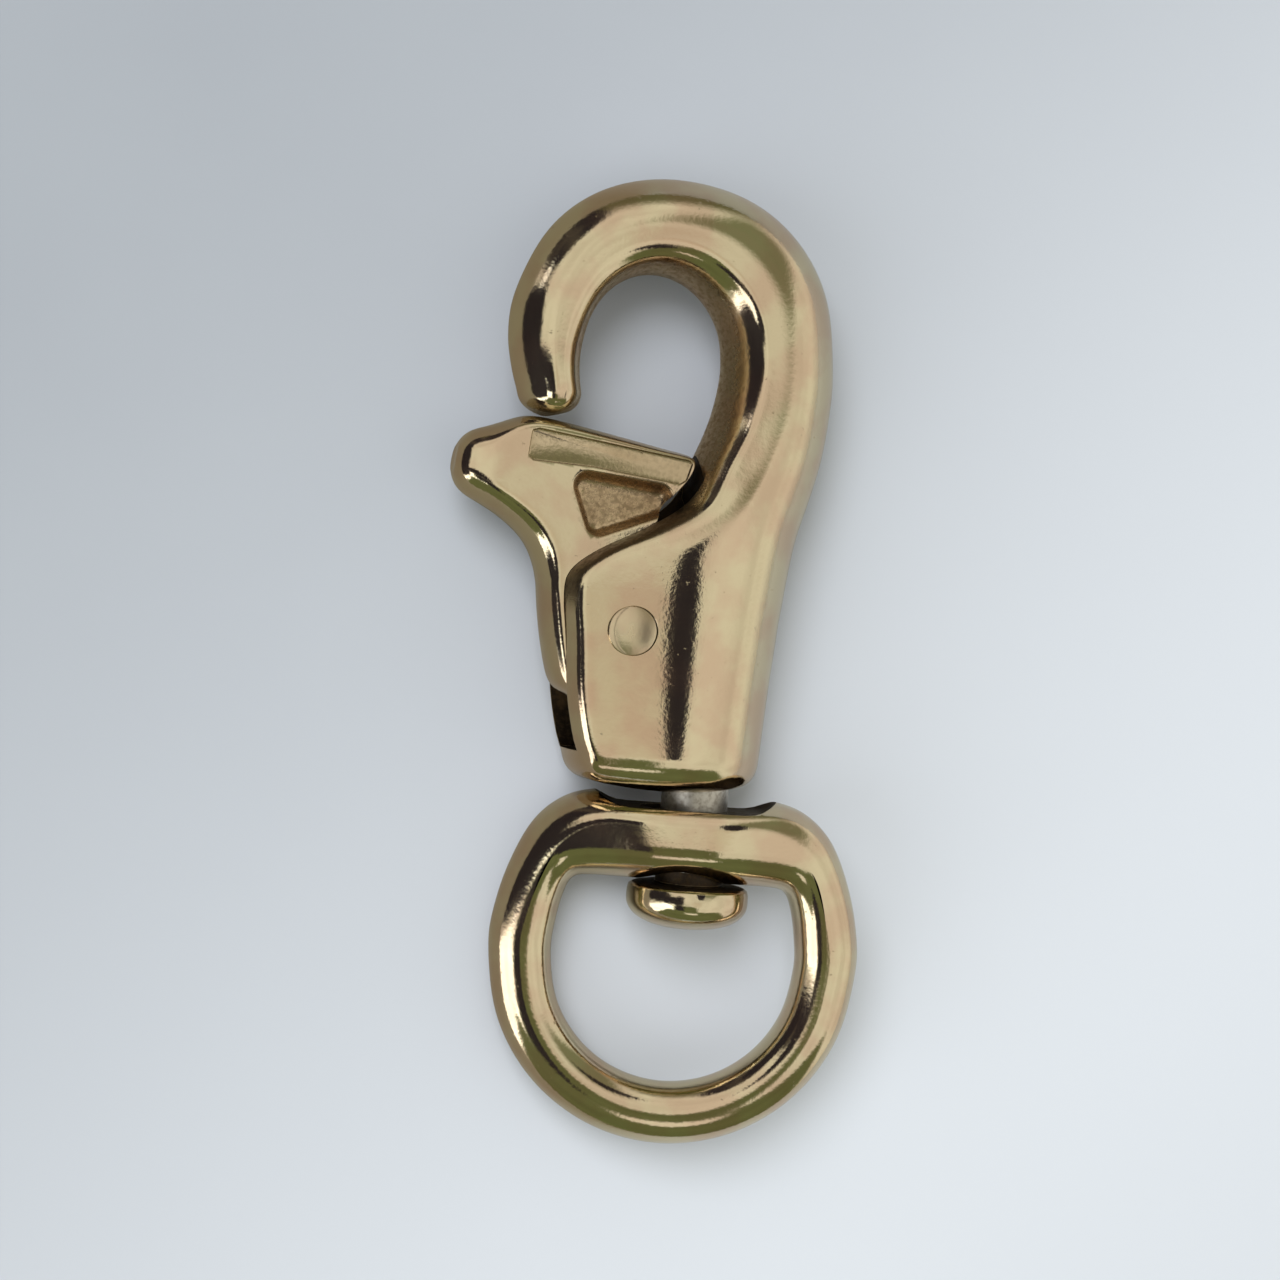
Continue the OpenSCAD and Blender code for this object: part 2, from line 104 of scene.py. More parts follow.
def half_section(width, half, rise, flank_in, flank_out, soft_in, soft_out, crest):
    """Front half of a section, as (distance from the inner edge, height) pairs."""
    lean = math.log(0.5) / math.log(crest)
    u = np.linspace(0, math.pi / 2, FLANK_CUTS + 1)
    cos, sin = np.clip(np.cos(u), 0, 1), np.sin(u)
    s = np.arange(1, CROWN_CUTS) / CROWN_CUTS
    inner = np.stack([flank_in * (1 - cos ** (2 / soft_in)), half * sin ** (2 / soft_in)], 1)
    crown = np.stack([flank_in + (width - flank_in - flank_out) * s,
                      half + rise * np.sin(math.pi * s ** lean)], 1)
    outer = np.stack([width - flank_out * (1 - cos ** (2 / soft_out)),
                      half * sin ** (2 / soft_out)], 1)[::-1]
    return np.concatenate([inner, crown, outer])


def crest_share(inner_x, slope, top_width, flank_in, rise):
    """Where the crown of a section is highest, as a share of the way between its flanks.
    The crest of the cheeks runs straight up, whatever the slope of the section."""
    straight = 1
    if rise > CREST_RISE:
        straight = ((CREST_X - inner_x) / slope - flank_in) / top_width
    straight = max(min(straight, CREST_MOST), CREST_LEAST)
    full = min(max(rise / CROWN - CREST_START, 0) / CREST_SPAN, 1)
    return lerp(CREST_SHARE, straight, full)


def ring(station, soft_out):
    """Closed ring of points round one station, in construction millimetres."""
    a, b = station[0:2], station[2:4]
    half, rise, flank_in, flank_out, soft_in, sag = station[4:10]
    width = np.linalg.norm(b - a)
    across = (b - a) / width
    forward = np.array([across[1], -across[0]])
    crest = crest_share(a[0], across[0], width - flank_in - flank_out, flank_in, rise)
    front = half_section(width, half, rise, flank_in, flank_out, soft_in, soft_out, crest)
    share = front[:, :1] / width
    plan = a + across * front[:, :1] + forward * sag * 4 * share * (1 - share)
    upper = np.column_stack([plan, front[:, 1]])
    lower = np.column_stack([plan, -front[:, 1]])[-2:0:-1]
    return np.concatenate([upper, lower])


def rounded_end(station, way, reach, radius, drop, bow, taper=0.0):
    """Stations that round off the end of a loft, going outward: reach along the path,
    radius in plan, drop in height, bow of the end and taper of its sides."""
    s = np.array(station, float)
    width = np.linalg.norm(s[2:4] - s[0:2])
    across = (s[2:4] - s[0:2]) / width
    forward = np.array([across[1], -across[0]]) * way
    rows = []
    for k in range(1, END_STEPS + 1):
        angle = math.pi / 2 * k / END_STEPS
        inset = radius * (1 - math.cos(angle)) + taper * reach * math.sin(angle)
        shrink = 1 - 2 * inset / width
        out = forward * reach * math.sin(angle)
        rows.append(np.concatenate([
            s[0:2] + out + across * inset, s[2:4] + out - across * inset,
            [s[4] - drop * (1 - math.cos(angle)), s[5] * math.cos(angle),
             s[6] * shrink, s[7] * shrink, s[8], way * bow * math.sin(angle)]]))
    return rows


def soften(rows, passes, closed):
    """Evens out a grid of points along its first axis. The ends of an open one stay."""
    g = rows.copy()
    for _ in range(passes):
        before, after = np.roll(g, 1, 0), np.roll(g, -1, 0)
        new = (before + 2 * g + after) / 4
        if not closed:
            new[0], new[-1] = g[0], g[-1]
        g = new
    return g


def new_mesh(name, points, faces):
    """Mesh object from points in construction millimetres."""
    mesh = bpy.data.meshes.new(name)
    mesh.from_pydata((FOOT + np.array(points) * MM).tolist(), [], faces)
    obj = bpy.data.objects.new(name, mesh)
    bpy.context.collection.objects.link(obj)
    bm = bmesh.new()
    bm.from_mesh(mesh)
    bmesh.ops.recalc_face_normals(bm, faces=bm.faces)
    bm.to_mesh(mesh)
    bm.free()
    return obj


def loft(name, stations, soft_out, along, around, closed=False):
    """Smooth skin over a row of stations, with flat caps on the ends of an open one.
    along and around are the passes that even it out each way."""
    grid = np.array([ring(s, soft_out) for s in stations])
    grid = soften(grid, along, closed)
    grid = soften(grid.transpose(1, 0, 2), around, True).transpose(1, 0, 2)
    m, n = grid.shape[:2]
    points = grid.reshape(-1, 3).tolist()
    faces = [(i * n + j, i * n + (j + 1) % n, (i + 1) % m * n + (j + 1) % n, (i + 1) % m * n + j)
             for i in range(m if closed else m - 1) for j in range(n)]
    if not closed:
        for end in (0, m - 1):
            rim = grid[end]
            middle = rim.mean(0)
            last = [end * n + j for j in range(n)]
            for f in CAP_RINGS:
                start = len(points)
                points += (middle + (rim - middle) * f).tolist()
                now = [start + j for j in range(n)]
                faces += [(last[j], last[(j + 1) % n], now[(j + 1) % n], now[j])
                          for j in range(n)]
                last = now
            points.append(middle.tolist())
            faces += [(last[j], last[(j + 1) % n], len(points) - 1) for j in range(n)]
    return new_mesh(name, points, faces)


def prism(name, outline, low, high):
    """Upright prism over an outline."""
    n = len(outline)
    points = [(x, y, z) for z in (low, high) for x, y in outline]
    faces = [tuple(range(n))[::-1], tuple(range(n, 2 * n))]
    faces += [(j, (j + 1) % n, n + (j + 1) % n, n + j) for j in range(n)]
    return new_mesh(name, points, faces)


def lathe(name, profile, base, axis, turns=128):
    """Turned solid: profile holds (radius, distance along the axis) from end to end."""
    axis = Vector(axis).normalized()
    side = axis.orthogonal().normalized()
    up = axis.cross(side)
    base = Vector(base)
    points, rows = [], []
    for r, d in profile:
        if r < 1e-6:
            rows.append([len(points)])
            points.append(base + axis * d)
            continue
        rows.append(range(len(points), len(points) + turns))
        for k in range(turns):
            a = 2 * math.pi * k / turns
            points.append(base + axis * d + (side * math.cos(a) + up * math.sin(a)) * r)
    faces = []
    for low, high in zip(rows, rows[1:]):
        for k in range(turns):
            k2 = (k + 1) % turns
            if len(low) == 1:
                faces.append((low[0], high[k], high[k2]))
            elif len(high) == 1:
                faces.append((low[k], high[0], low[k2]))
            else:
                faces.append((low[k], high[k], high[k2], low[k2]))
    return new_mesh(name, points, faces)


def drill(name, radius, base, axis, length):
    """Plain round cutter."""
    return lathe(name, [(0, 0), (radius, 0), (radius, length), (0, length)], base, axis)


def bake(obj):
    """Applies the modifiers of an object."""
    graph = bpy.context.evaluated_depsgraph_get()
    graph.update()
    mesh = bpy.data.meshes.new_from_object(obj.evaluated_get(graph), depsgraph=graph)
    obj.modifiers.clear()
    obj.data = mesh


def cut(obj, *cutters):
    """Takes the cutters out of an object, and then they are gone."""
    for cutter in cutters:
        tool = obj.modifiers.new("cut", "BOOLEAN")
        tool.operation = "DIFFERENCE"
        tool.solver = "EXACT"
        tool.material_mode = "TRANSFER"
        tool.object = cutter
    bake(obj)
    for cutter in cutters:
        bpy.data.objects.remove(cutter)


def shade(obj, angle):
    """Smooth shading, with edges sharper than the angle left crisp."""
    obj.data.shade_smooth()
    obj.data.set_sharp_from_angle(angle=math.radians(angle))


def feed(link, socket, value):
    """Gives a socket its value: another socket, a number, a vector or a colour triple."""
    if isinstance(value, bpy.types.NodeSocket):
        link(value, socket)
    elif socket.type == "RGBA":
        socket.default_value = (*value, 1)
    else:
        socket.default_value = value


def maths(nodes, link, kind, *values):
    """Math node on plain numbers and sockets."""
    node = nodes.new("ShaderNodeMath")
    node.operation = kind
    for socket, v in zip(node.inputs, values):
        feed(link, socket, v)
    return node.outputs[0]


def vectors(nodes, link, kind, *values):
    """Vector math node. Returns the node, as it gives a vector or a number."""
    node = nodes.new("ShaderNodeVectorMath")
    node.operation = kind
    for socket, v in zip(node.inputs, values):
        feed(link, socket, v)
    return node


def split_xyz(nodes, link, vector):
    """The X, Y and Z of a vector, by name."""
    node = nodes.new("ShaderNodeSeparateXYZ")
    link(vector, node.inputs[0])
    return node.outputs


def blend(nodes, link, factor, first, second):
    """Colour mix; each colour is a socket or a plain triple."""
    node = nodes.new("ShaderNodeMix")
    node.data_type = "RGBA"
    link(factor, node.inputs["Factor"])
    for key, v in (("A", first), ("B", second)):
        feed(link, node.inputs[key], v)
    return node.outputs["Result"]


def ramp(nodes, link, value, low, high, to_low=0.0, to_high=1.0):
    """Smooth step from one level to another. The levels are numbers or sockets."""
    node = nodes.new("ShaderNodeMapRange")
    node.interpolation_type = "SMOOTHSTEP"
    link(value, node.inputs["Value"])
    for key, v in (("From Min", low), ("From Max", high), ("To Min", to_low), ("To Max", to_high)):
        feed(link, node.inputs[key], v)
    return node.outputs["Result"]


def new_group(name, inputs, outputs):
    """Empty shader group. Returns it with its nodes, its link call and its two ends."""
    g = bpy.data.node_groups.new(name, "ShaderNodeTree")
    for way, sockets in (("INPUT", inputs), ("OUTPUT", outputs)):
        for key, kind in sockets:
            g.interface.new_socket(key, in_out=way, socket_type="NodeSocket" + kind)
    return g, g.nodes, g.links.new, g.nodes.new("NodeGroupInput"), g.nodes.new("NodeGroupOutput")


def group_node(nodes, tree):
    node = nodes.new("ShaderNodeGroup")
    node.node_tree = tree
    return node


def noise(nodes, link, place, size, detail, rough=0.5):
    """Plain noise. The size of its blots is in the units of the place."""
    node = nodes.new("ShaderNodeTexNoise")
    node.inputs["Scale"].default_value = 1 / size
    node.inputs["Detail"].default_value = detail
    node.inputs["Roughness"].default_value = rough
    link(place, node.inputs["Vector"])
    return node.outputs["Fac"]


# Dark of dirt and pits, which some materials also use to paint shade
DIRT_AND_SHADE = (0.13, 0.085, 0.045)


def skin_group():
    """Plated skin: a slow change of tone, fine grain, scattered pits and rubbed edges."""
    g, n, link, inp, out = new_group(
        "plated_skin",
        [("Tone", "Color"), ("Warm", "Color"), ("Worn", "Color"), ("Gloss", "Float"),
         ("Pits", "Float"), ("Edge", "Float"), ("Grime_and_shade", "Float")],
        [("Color", "Color"), ("Roughness", "Float"), ("Height", "Float")])
    place = n.new("ShaderNodeTexCoord").outputs["Object"]
    slow = noise(n, link, place, 6.0 * MM, 3)
    grain = noise(n, link, place, 0.45 * MM, 3, 0.55)
    speck = noise(n, link, place, 0.9 * MM, 4, 0.7)
    pit = maths(n, link, "MULTIPLY", ramp(n, link, speck, 0.67, 0.75), inp.outputs["Pits"])
    tone = blend(n, link, ramp(n, link, slow, 0.38, 0.62), inp.outputs["Tone"], inp.outputs["Warm"])
    rubbed = maths(n, link, "MULTIPLY", inp.outputs["Edge"], ramp(n, link, speck, 0.35, 0.6, 0.3, 0.8))
    tone = blend(n, link, rubbed, tone, inp.outputs["Worn"])
    # Blotches of dirt. Where a material feeds in a mask of shaded places, they also paint shade
    dirt_and_shade = ramp(n, link, noise(n, link, place, 0.55 * MM, 4, 0.6), 0.42, 0.66)
    dirt_and_shade = maths(n, link, "MULTIPLY", dirt_and_shade, inp.outputs["Grime_and_shade"])
    dark = maths(n, link, "MAXIMUM", maths(n, link, "MULTIPLY", pit, 0.7), dirt_and_shade)
    link(blend(n, link, dark, tone, DIRT_AND_SHADE), out.inputs["Color"])
    rough = maths(n, link, "MULTIPLY_ADD", dark, 0.3, inp.outputs["Gloss"])
    rough = maths(n, link, "ADD", rough, ramp(n, link, slow, 0.3, 0.7, -0.02, 0.03))
    link(rough, out.inputs["Roughness"])
    link(maths(n, link, "SUBTRACT", grain, maths(n, link, "MULTIPLY", pit, 1.5)), out.inputs["Height"])
    return g


def edge_group():
    """Where a face turns sharply into the next one, and the normal of the softened edge."""
    g, n, link, inp, out = new_group("soft_edge", [("Radius", "Float")],
                                     [("Edge", "Float"), ("Normal", "Vector")])
    bevel = n.new("ShaderNodeBevel")
    bevel.samples = 4
    link(inp.outputs["Radius"], bevel.inputs["Radius"])
    normal = n.new("ShaderNodeNewGeometry").outputs["Normal"]
    dot = vectors(n, link, "DOT_PRODUCT", bevel.outputs[0], normal)
    link(ramp(n, link, dot.outputs["Value"], 0.9, 0.99, 1.0, 0.0), out.inputs["Edge"])
    link(bevel.outputs[0], out.inputs["Normal"])
    return g


SKIN, SOFT_EDGE = skin_group(), edge_group()
WORN = (0.76, 0.64, 0.44)
EDGE_MM = 0.12


def plated(name, tone, warm, gloss, pits, bump_um, grime_and_shade=0.0):
    """Nickel plate over a casting."""
    m = bpy.data.materials.new(name)
    m.use_nodes = True
    n, link = m.node_tree.nodes, m.node_tree.links.new
    bsdf = n["Principled BSDF"]
    bsdf.inputs["Metallic"].default_value = 1.0
    edge, skin = group_node(n, SOFT_EDGE), group_node(n, SKIN)
    edge.inputs["Radius"].default_value = EDGE_MM * MM
    for key, v in (("Tone", tone), ("Warm", warm), ("Worn", WORN), ("Gloss", gloss), ("Pits", pits),
                   ("Edge", edge.outputs["Edge"]), ("Grime_and_shade", grime_and_shade)):
        feed(link, skin.inputs[key], v)
    bump = n.new("ShaderNodeBump")
    bump.inputs["Distance"].default_value = bump_um * 1e-6
    link(skin.outputs["Height"], bump.inputs["Height"])
    link(edge.outputs["Normal"], bump.inputs["Normal"])
    link(skin.outputs["Color"], bsdf.inputs["Base Color"])
    link(skin.outputs["Roughness"], bsdf.inputs["Roughness"])
    link(bump.outputs["Normal"], bsdf.inputs["Normal"])
    return m


NICKEL, NICKEL_WARM = (0.68, 0.60, 0.42), (0.64, 0.50, 0.36)
POLISHED = plated("polished_nickel", NICKEL, NICKEL_WARM, 0.09, 0.5, 12)
# Near-black plate for the walls of bores, slots and recesses: painted shade where little light gets in
PAINTED_SHADE = plated("painted_shade_inside", (0.05, 0.038, 0.028), (0.03, 0.022, 0.016), 0.5, 1.0, 25, 0.5)


# Where the hook stays rough and has shade painted on it: middle, squeeze along Y, reach, and how level a
# face may be
ROUGH_AND_SHADED_ZONES = ((-8.4, 41.5, 0.75, 12.5, 0.5), (-11.0, 25.5, 1.0, 8.5, 0.8))
# Tones inside the hook: a raw brown that is partly painted shade, and a near-black painted shade
RAW_BROWN_AND_SHADE, SLOT_RIM_SHADE = (0.36, 0.25, 0.13), (0.05, 0.035, 0.025)


def hook_skin():
    """Polished nickel that stays rough inside the hook, where no wheel reaches. There it is also
    browner and darker, partly as raw casting and partly as painted shade, and near black in the lower
    zone as painted shade.
    """
    m = plated("hook_nickel", NICKEL, NICKEL_WARM, 0.09, 0.5, 13)
    n, link = m.node_tree.nodes, m.node_tree.links.new
    bsdf = n["Principled BSDF"]
    place = n.new("ShaderNodeTexCoord").outputs["Object"]
    normal = n.new("ShaderNodeNewGeometry").outputs["Normal"]
    level = maths(n, link, "ABSOLUTE", split_xyz(n, link, normal)["Z"])
    masks = []
    for x, y, squeeze, reach, steep in ROUGH_AND_SHADED_ZONES:
        off = vectors(n, link, "SUBTRACT", place, FOOT + np.array([x, y, 0]) * MM)
        flat = vectors(n, link, "MULTIPLY", off.outputs[0], (1, squeeze, 0))
        far = vectors(n, link, "LENGTH", flat.outputs[0])
        near = ramp(n, link, far.outputs["Value"], (reach - 1) * MM, (reach + 1) * MM, 1.0, 0.0)
        masks.append(maths(n, link, "MULTIPLY", near,
                           ramp(n, link, level, steep - 0.13, steep + 0.13, 1.0, 0.0)))
    mask = maths(n, link, "MAXIMUM", *masks)
    skin = [x for x in n if x.type == "GROUP" and x.node_tree == SKIN][0]
    # Dirt and painted shade in the zones
    link(maths(n, link, "MULTIPLY", mask, 0.6), skin.inputs["Grime_and_shade"])
    # Browner in the zones: partly raw casting, partly painted shade
    tint = maths(n, link, "MULTIPLY", mask, 0.55)
    brown = blend(n, link, tint, skin.outputs["Color"], RAW_BROWN_AND_SHADE)
    # Near black in the lower zone: painted shade
    painted_rim_shade = maths(n, link, "MULTIPLY", masks[1], 0.7)
    link(blend(n, link, painted_rim_shade, brown, SLOT_RIM_SHADE), bsdf.inputs["Base Color"])
    rough = maths(n, link, "ADD", skin.outputs["Roughness"], maths(n, link, "MULTIPLY", mask, 0.22))
    link(rough, bsdf.inputs["Roughness"])
    sand = noise(n, link, place, 0.8 * MM, 4, 0.6)
    height = maths(n, link, "MULTIPLY_ADD", maths(n, link, "MULTIPLY", sand, mask), 9.0,
                   skin.outputs["Height"])
    link(height, [x for x in n if x.type == "BUMP"][0].inputs["Height"])
    return m


HOOK = hook_skin()

BODY_LEN = 63.6
OPENING_W = 15.0
BOW_OFFSET = 8.4
TOP_STOCK, TIP_STOCK, SPINE_STOCK = 10.2, 7.9, 12.5
TIP_HEIGHT, ARM_STRAIGHT = 37.75, 7.2
ARM_HALF, SPINE_HALF, HOUSING_HALF = 4.1, 5.5, 7.0
CHEEK_REACH, BACK_REACH, SHOULDER = 17.0, 7.4, 21.4
SLOT_W, SLOT_FLOOR = 7.9, 3.7

in_left, in_right = -BOW_OFFSET - OPENING_W / 2, -BOW_OFFSET + OPENING_W / 2
out_left, out_right = in_left - TIP_STOCK, in_right + SPINE_STOCK
bow_mid, bow_half = (out_left + out_right) / 2, (out_right - out_left) / 2
bow_top = BODY_LEN - TOP_STOCK
spring_line = TIP_HEIGHT + ARM_STRAIGHT
bow_rise = BODY_LEN - spring_line - 0.5
# The bow is a little squarer than an ellipse, and its outer points fan out a little faster
BOW_SQUARE, BOW_FAN = 2.15, 1.05
TIP_REACH, TIP_BOW = 2.0, 0.25
FOOT_REACH, FOOT_BOW = 2.5, 0.7
tip_start = TIP_HEIGHT + TIP_REACH + TIP_BOW
foot_start = FOOT_REACH + FOOT_BOW
cheek_half = HOUSING_HALF - CROWN
DRAFT = 1.35
RIM, BACK_FLANK = 1.9, 6.6


def square_off(v):
    return math.copysign(abs(v) ** (2 / BOW_SQUARE), v)


def bow_station(degrees):
    a, b = math.radians(degrees), math.radians(degrees * BOW_FAN)
    s = (1 + math.cos(a)) / 2
    return [-BOW_OFFSET + OPENING_W / 2 * math.cos(a),
            spring_line + (bow_top - spring_line) * math.sin(a),
            bow_mid + bow_half * square_off(math.cos(b)),
            BODY_LEN - bow_rise * (1 - square_off(math.sin(b))),
            lerp(ARM_HALF, SPINE_HALF, s), 0.1, 2.5 + 0.9 * s, 3.8 + 2.2 * s,
            lerp(2.0, DRAFT, s ** 3), 0]


def lift(f):
    """Height on the spine, from the shoulder (0) to the bow (1)."""
    return lerp(SHOULDER, spring_line, f)


def arm_y(f):
    """Height on the arm, from the start of the tip (0) to the bow (1)."""
    return lerp(tip_start, spring_line, f)


def cheek_station(x1, y1, x2, y2, rise=CROWN, flank=RIM, soft=2.0):
    return [x1, y1, x2, y2, cheek_half, rise, flank, BACK_FLANK, soft, 0]


# Each station: inner point, outer point, half thickness, crown, inner flank, outer flank,
# roundness of the inner flank, sag. The path goes from the tip round the bow to the foot.
body_path = [
    [in_left + 0.3, tip_start, out_left + 1.4, tip_start, ARM_HALF - 0.1, 0, 2.4, 3.4, 1.7, 0],
    [in_left - 0.1, arm_y(0.45), out_left + 0.65, arm_y(0.45), ARM_HALF, 0.05, 2.5, 3.6, 1.7, 0],
    [in_left - 0.1, spring_line, out_left, arm_y(1.2), ARM_HALF, 0.1, 2.5, 3.8, 1.7, 0],
    *[bow_station(180 - 22.5 * k) for k in range(1, 9)],
    [in_right - 0.15, lift(0.88), out_right - 0.05, lift(0.8), SPINE_HALF + 0.1, 0.1, 3.4, 6, DRAFT, 0],
    [in_right - 0.8, lift(0.74), out_right - 0.6, lift(0.6), SPINE_HALF + 0.3, 0.15, 3.3, 6.2, DRAFT, 0],
    [in_right - 2.1, lift(0.58), out_right - 1.6, lift(0.42), SPINE_HALF + 0.5, 0.25, 3, 6.4, 1.5, 0],
    [in_right - 4.3, lift(0.38), BACK_REACH + 1.5, lift(0.25), cheek_half, 0.5, 2.9, 6.5, 1.5, 0],
    cheek_station(in_right - 8.3, lift(0.245), BACK_REACH + 0.95, lift(0.1), 0.97 * CROWN, 2.4, 1.55),
    cheek_station(3.1 - CHEEK_REACH, lift(0.13), BACK_REACH + 0.6, lift(-0.03), CROWN, 2.2, 1.7),
    cheek_station(0.35 - CHEEK_REACH, lift(0.02), BACK_REACH + 0.3, lift(-0.14)),
    cheek_station(-CHEEK_REACH, lift(-0.1), BACK_REACH + 0.1, lift(-0.25)),
    cheek_station(0.5 - CHEEK_REACH, 15, BACK_REACH - 0.2, 12),
    cheek_station(0.95 - CHEEK_REACH, 9.8, BACK_REACH - 0.45, 8),
    cheek_station(1.95 - CHEEK_REACH, 5.2, BACK_REACH - 0.65, 4.8),
    cheek_station(2.75 - CHEEK_REACH, foot_start, BACK_REACH - 0.75, foot_start)]

STUD_R, STUD_GRIP, PRESS_GAP = 3.5, 5.2, 0.02
SPRING_R, WIRE, SPRING_SEAT = 1.7, 0.6, 1
STUD_COVER = STUD_GRIP + 0.9
SPRING_Y = STUD_COVER + SPRING_R + WIRE / 2 + 1
BACK_WALL_X = BACK_REACH - 7.1
STEP_X = -STUD_R - 2.7
OPEN_X = -60.0
slot_top = TIP_HEIGHT - 0.65
PIN_R, PIN_HEAD_R, PIN_FLARE, PIN_MOUTH = 1.9, 2.5, 0.9, 0.6
PIN_PROUD = 0.3
pin_head_z = cheek_half + PIN_PROUD

tip = rounded_end(body_path[0], -1, TIP_REACH, radius=2.1, drop=2.0, bow=TIP_BOW)
foot_end = rounded_end(body_path[-1], 1, FOOT_REACH, radius=2.2, drop=3.1, bow=FOOT_BOW)
body = loft("body_casting", tip[::-1] + fill(body_path) + foot_end, 1.55, along=10, around=4)
body.data.materials.append(HOOK)
slot = prism("slot", [(OPEN_X, SLOT_FLOOR), (STEP_X, SLOT_FLOOR), (STEP_X, STUD_COVER),
                      (BACK_WALL_X, STUD_COVER), (BACK_WALL_X, lift(0.1)),
                      (in_right - 1.9, lift(0.4)), (in_right - 2.1, slot_top),
                      (OPEN_X, slot_top)], -SLOT_W / 2, SLOT_W / 2)
bore_len = 2 * HOUSING_HALF + 2 * PAST
pin_bore = lathe("pin_bore", [
    (0, -bore_len / 2), (PIN_HEAD_R + PIN_MOUTH, -bore_len / 2),
    (PIN_HEAD_R + PRESS_GAP, -pin_head_z), (PIN_R + PRESS_GAP, PIN_FLARE - pin_head_z),
    (PIN_R + PRESS_GAP, pin_head_z - PIN_FLARE), (PIN_HEAD_R + PRESS_GAP, pin_head_z),
    (PIN_HEAD_R + PIN_MOUTH, bore_len / 2), (0, bore_len / 2)],
    (-PIVOT_OFFSET, PIVOT_HEIGHT, 0), (0, 0, 1))
spring_seat = drill("spring_seat", SPRING_R + WIRE / 2 + 0.25,
                    (BACK_WALL_X - PAST, SPRING_Y, 0), (1, 0, 0), SPRING_SEAT + PAST)
stud_bore = drill("stud_bore", STUD_R + PRESS_GAP, (0, -PAST, 0), (0, 1, 0), STUD_GRIP + PAST)
# The walls these cutters leave take the near-black material: painted shade
for cutter in (slot, spring_seat, stud_bore):
    cutter.data.materials.append(PAINTED_SHADE)
pin_bore.data.materials.append(POLISHED)
cut(body, slot, pin_bore, spring_seat, stud_bore)
shade(body, 35)
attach(body, "snap_body")
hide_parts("body")

# ---- Pivot pin -------------------------------------------------------------
# A plated steel pin through both cheeks. Its ends are peened out into the flared mouths
# of the bore, as low domes that lean with the cheek that they sit in.

HEAD_RINGS, HEAD_EDGE_IN, HEAD_EDGE_DOWN = 20, 0.06, 0.08
HEAD_LEAN, HEAD_DOME, DOME_POWER, HEAD_PROUD = 0.1, 0.32, 2.2, 0.03
HEAD_ZONE = 0.2

pin_profile = [(0, -pin_head_z)]
pin_profile += [(PIN_HEAD_R * k / HEAD_RINGS, -pin_head_z) for k in range(1, HEAD_RINGS)]
pin_profile += [(PIN_HEAD_R - HEAD_EDGE_IN, -pin_head_z), (PIN_HEAD_R, HEAD_EDGE_DOWN - pin_head_z),
                (PIN_R, PIN_FLARE - pin_head_z), (PIN_R, pin_head_z - PIN_FLARE),
                (PIN_HEAD_R, pin_head_z - HEAD_EDGE_DOWN), (PIN_HEAD_R - HEAD_EDGE_IN, pin_head_z)]
pin_profile += [(PIN_HEAD_R * k / HEAD_RINGS, pin_head_z) for k in range(HEAD_RINGS - 1, 0, -1)]
pin_profile += [(0, pin_head_z)]
pin = lathe("pivot_pin_peened", pin_profile, (-PIVOT_OFFSET, PIVOT_HEIGHT, 0), (0, 0, 1), 96)
for v in pin.data.vertices:
    x, y, z = (np.array(v.co) - np.array(PIVOT)) / MM
    if abs(z) > pin_head_z - HEAD_ZONE:
        r = math.hypot(x, y) / PIN_HEAD_R
        proud = HEAD_PROUD + HEAD_DOME * (1 - r ** DOME_POWER) + HEAD_LEAN * x
        v.co.z = PIVOT.z + (z + math.copysign(proud, z)) * MM
pin.data.materials.append(plated("peened_nickel", NICKEL, NICKEL_WARM, 0.28, 0.6, 14))
shade(pin, 40)
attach(pin, "snap_body")
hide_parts("pivot_pin")

# ---- Trigger ---------------------------------------------------------------
# The trigger is a flat casting that swings between the cheeks: a thumb tab, a gate that
# shuts against the tip, a hub for the pin and a toe for the spring. Each face has a long
# bare panel and a deep cored pocket.

SIDE_GAP, GATE_GAP, GATE_FALL = 0.25, 0.3, 2.7
TAB_REACH = 28.8
HUB_R = 4.6
PIN_PLAY = 0.06
trigger_half = SLOT_W / 2 - SIDE_GAP
gate_y = TIP_HEIGHT - GATE_GAP
nose_x = in_right - 2.5
toe_face = -PIVOT_OFFSET - 2.6


def trigger_station(low, high, flank_low, flank_high):
    return [*low, *high, trigger_half, 0, flank_low, flank_high, 2, 0]


def lever(x, y):
    """A point on the trigger, measured from the pivot."""
    return x - PIVOT_OFFSET, y + PIVOT_HEIGHT


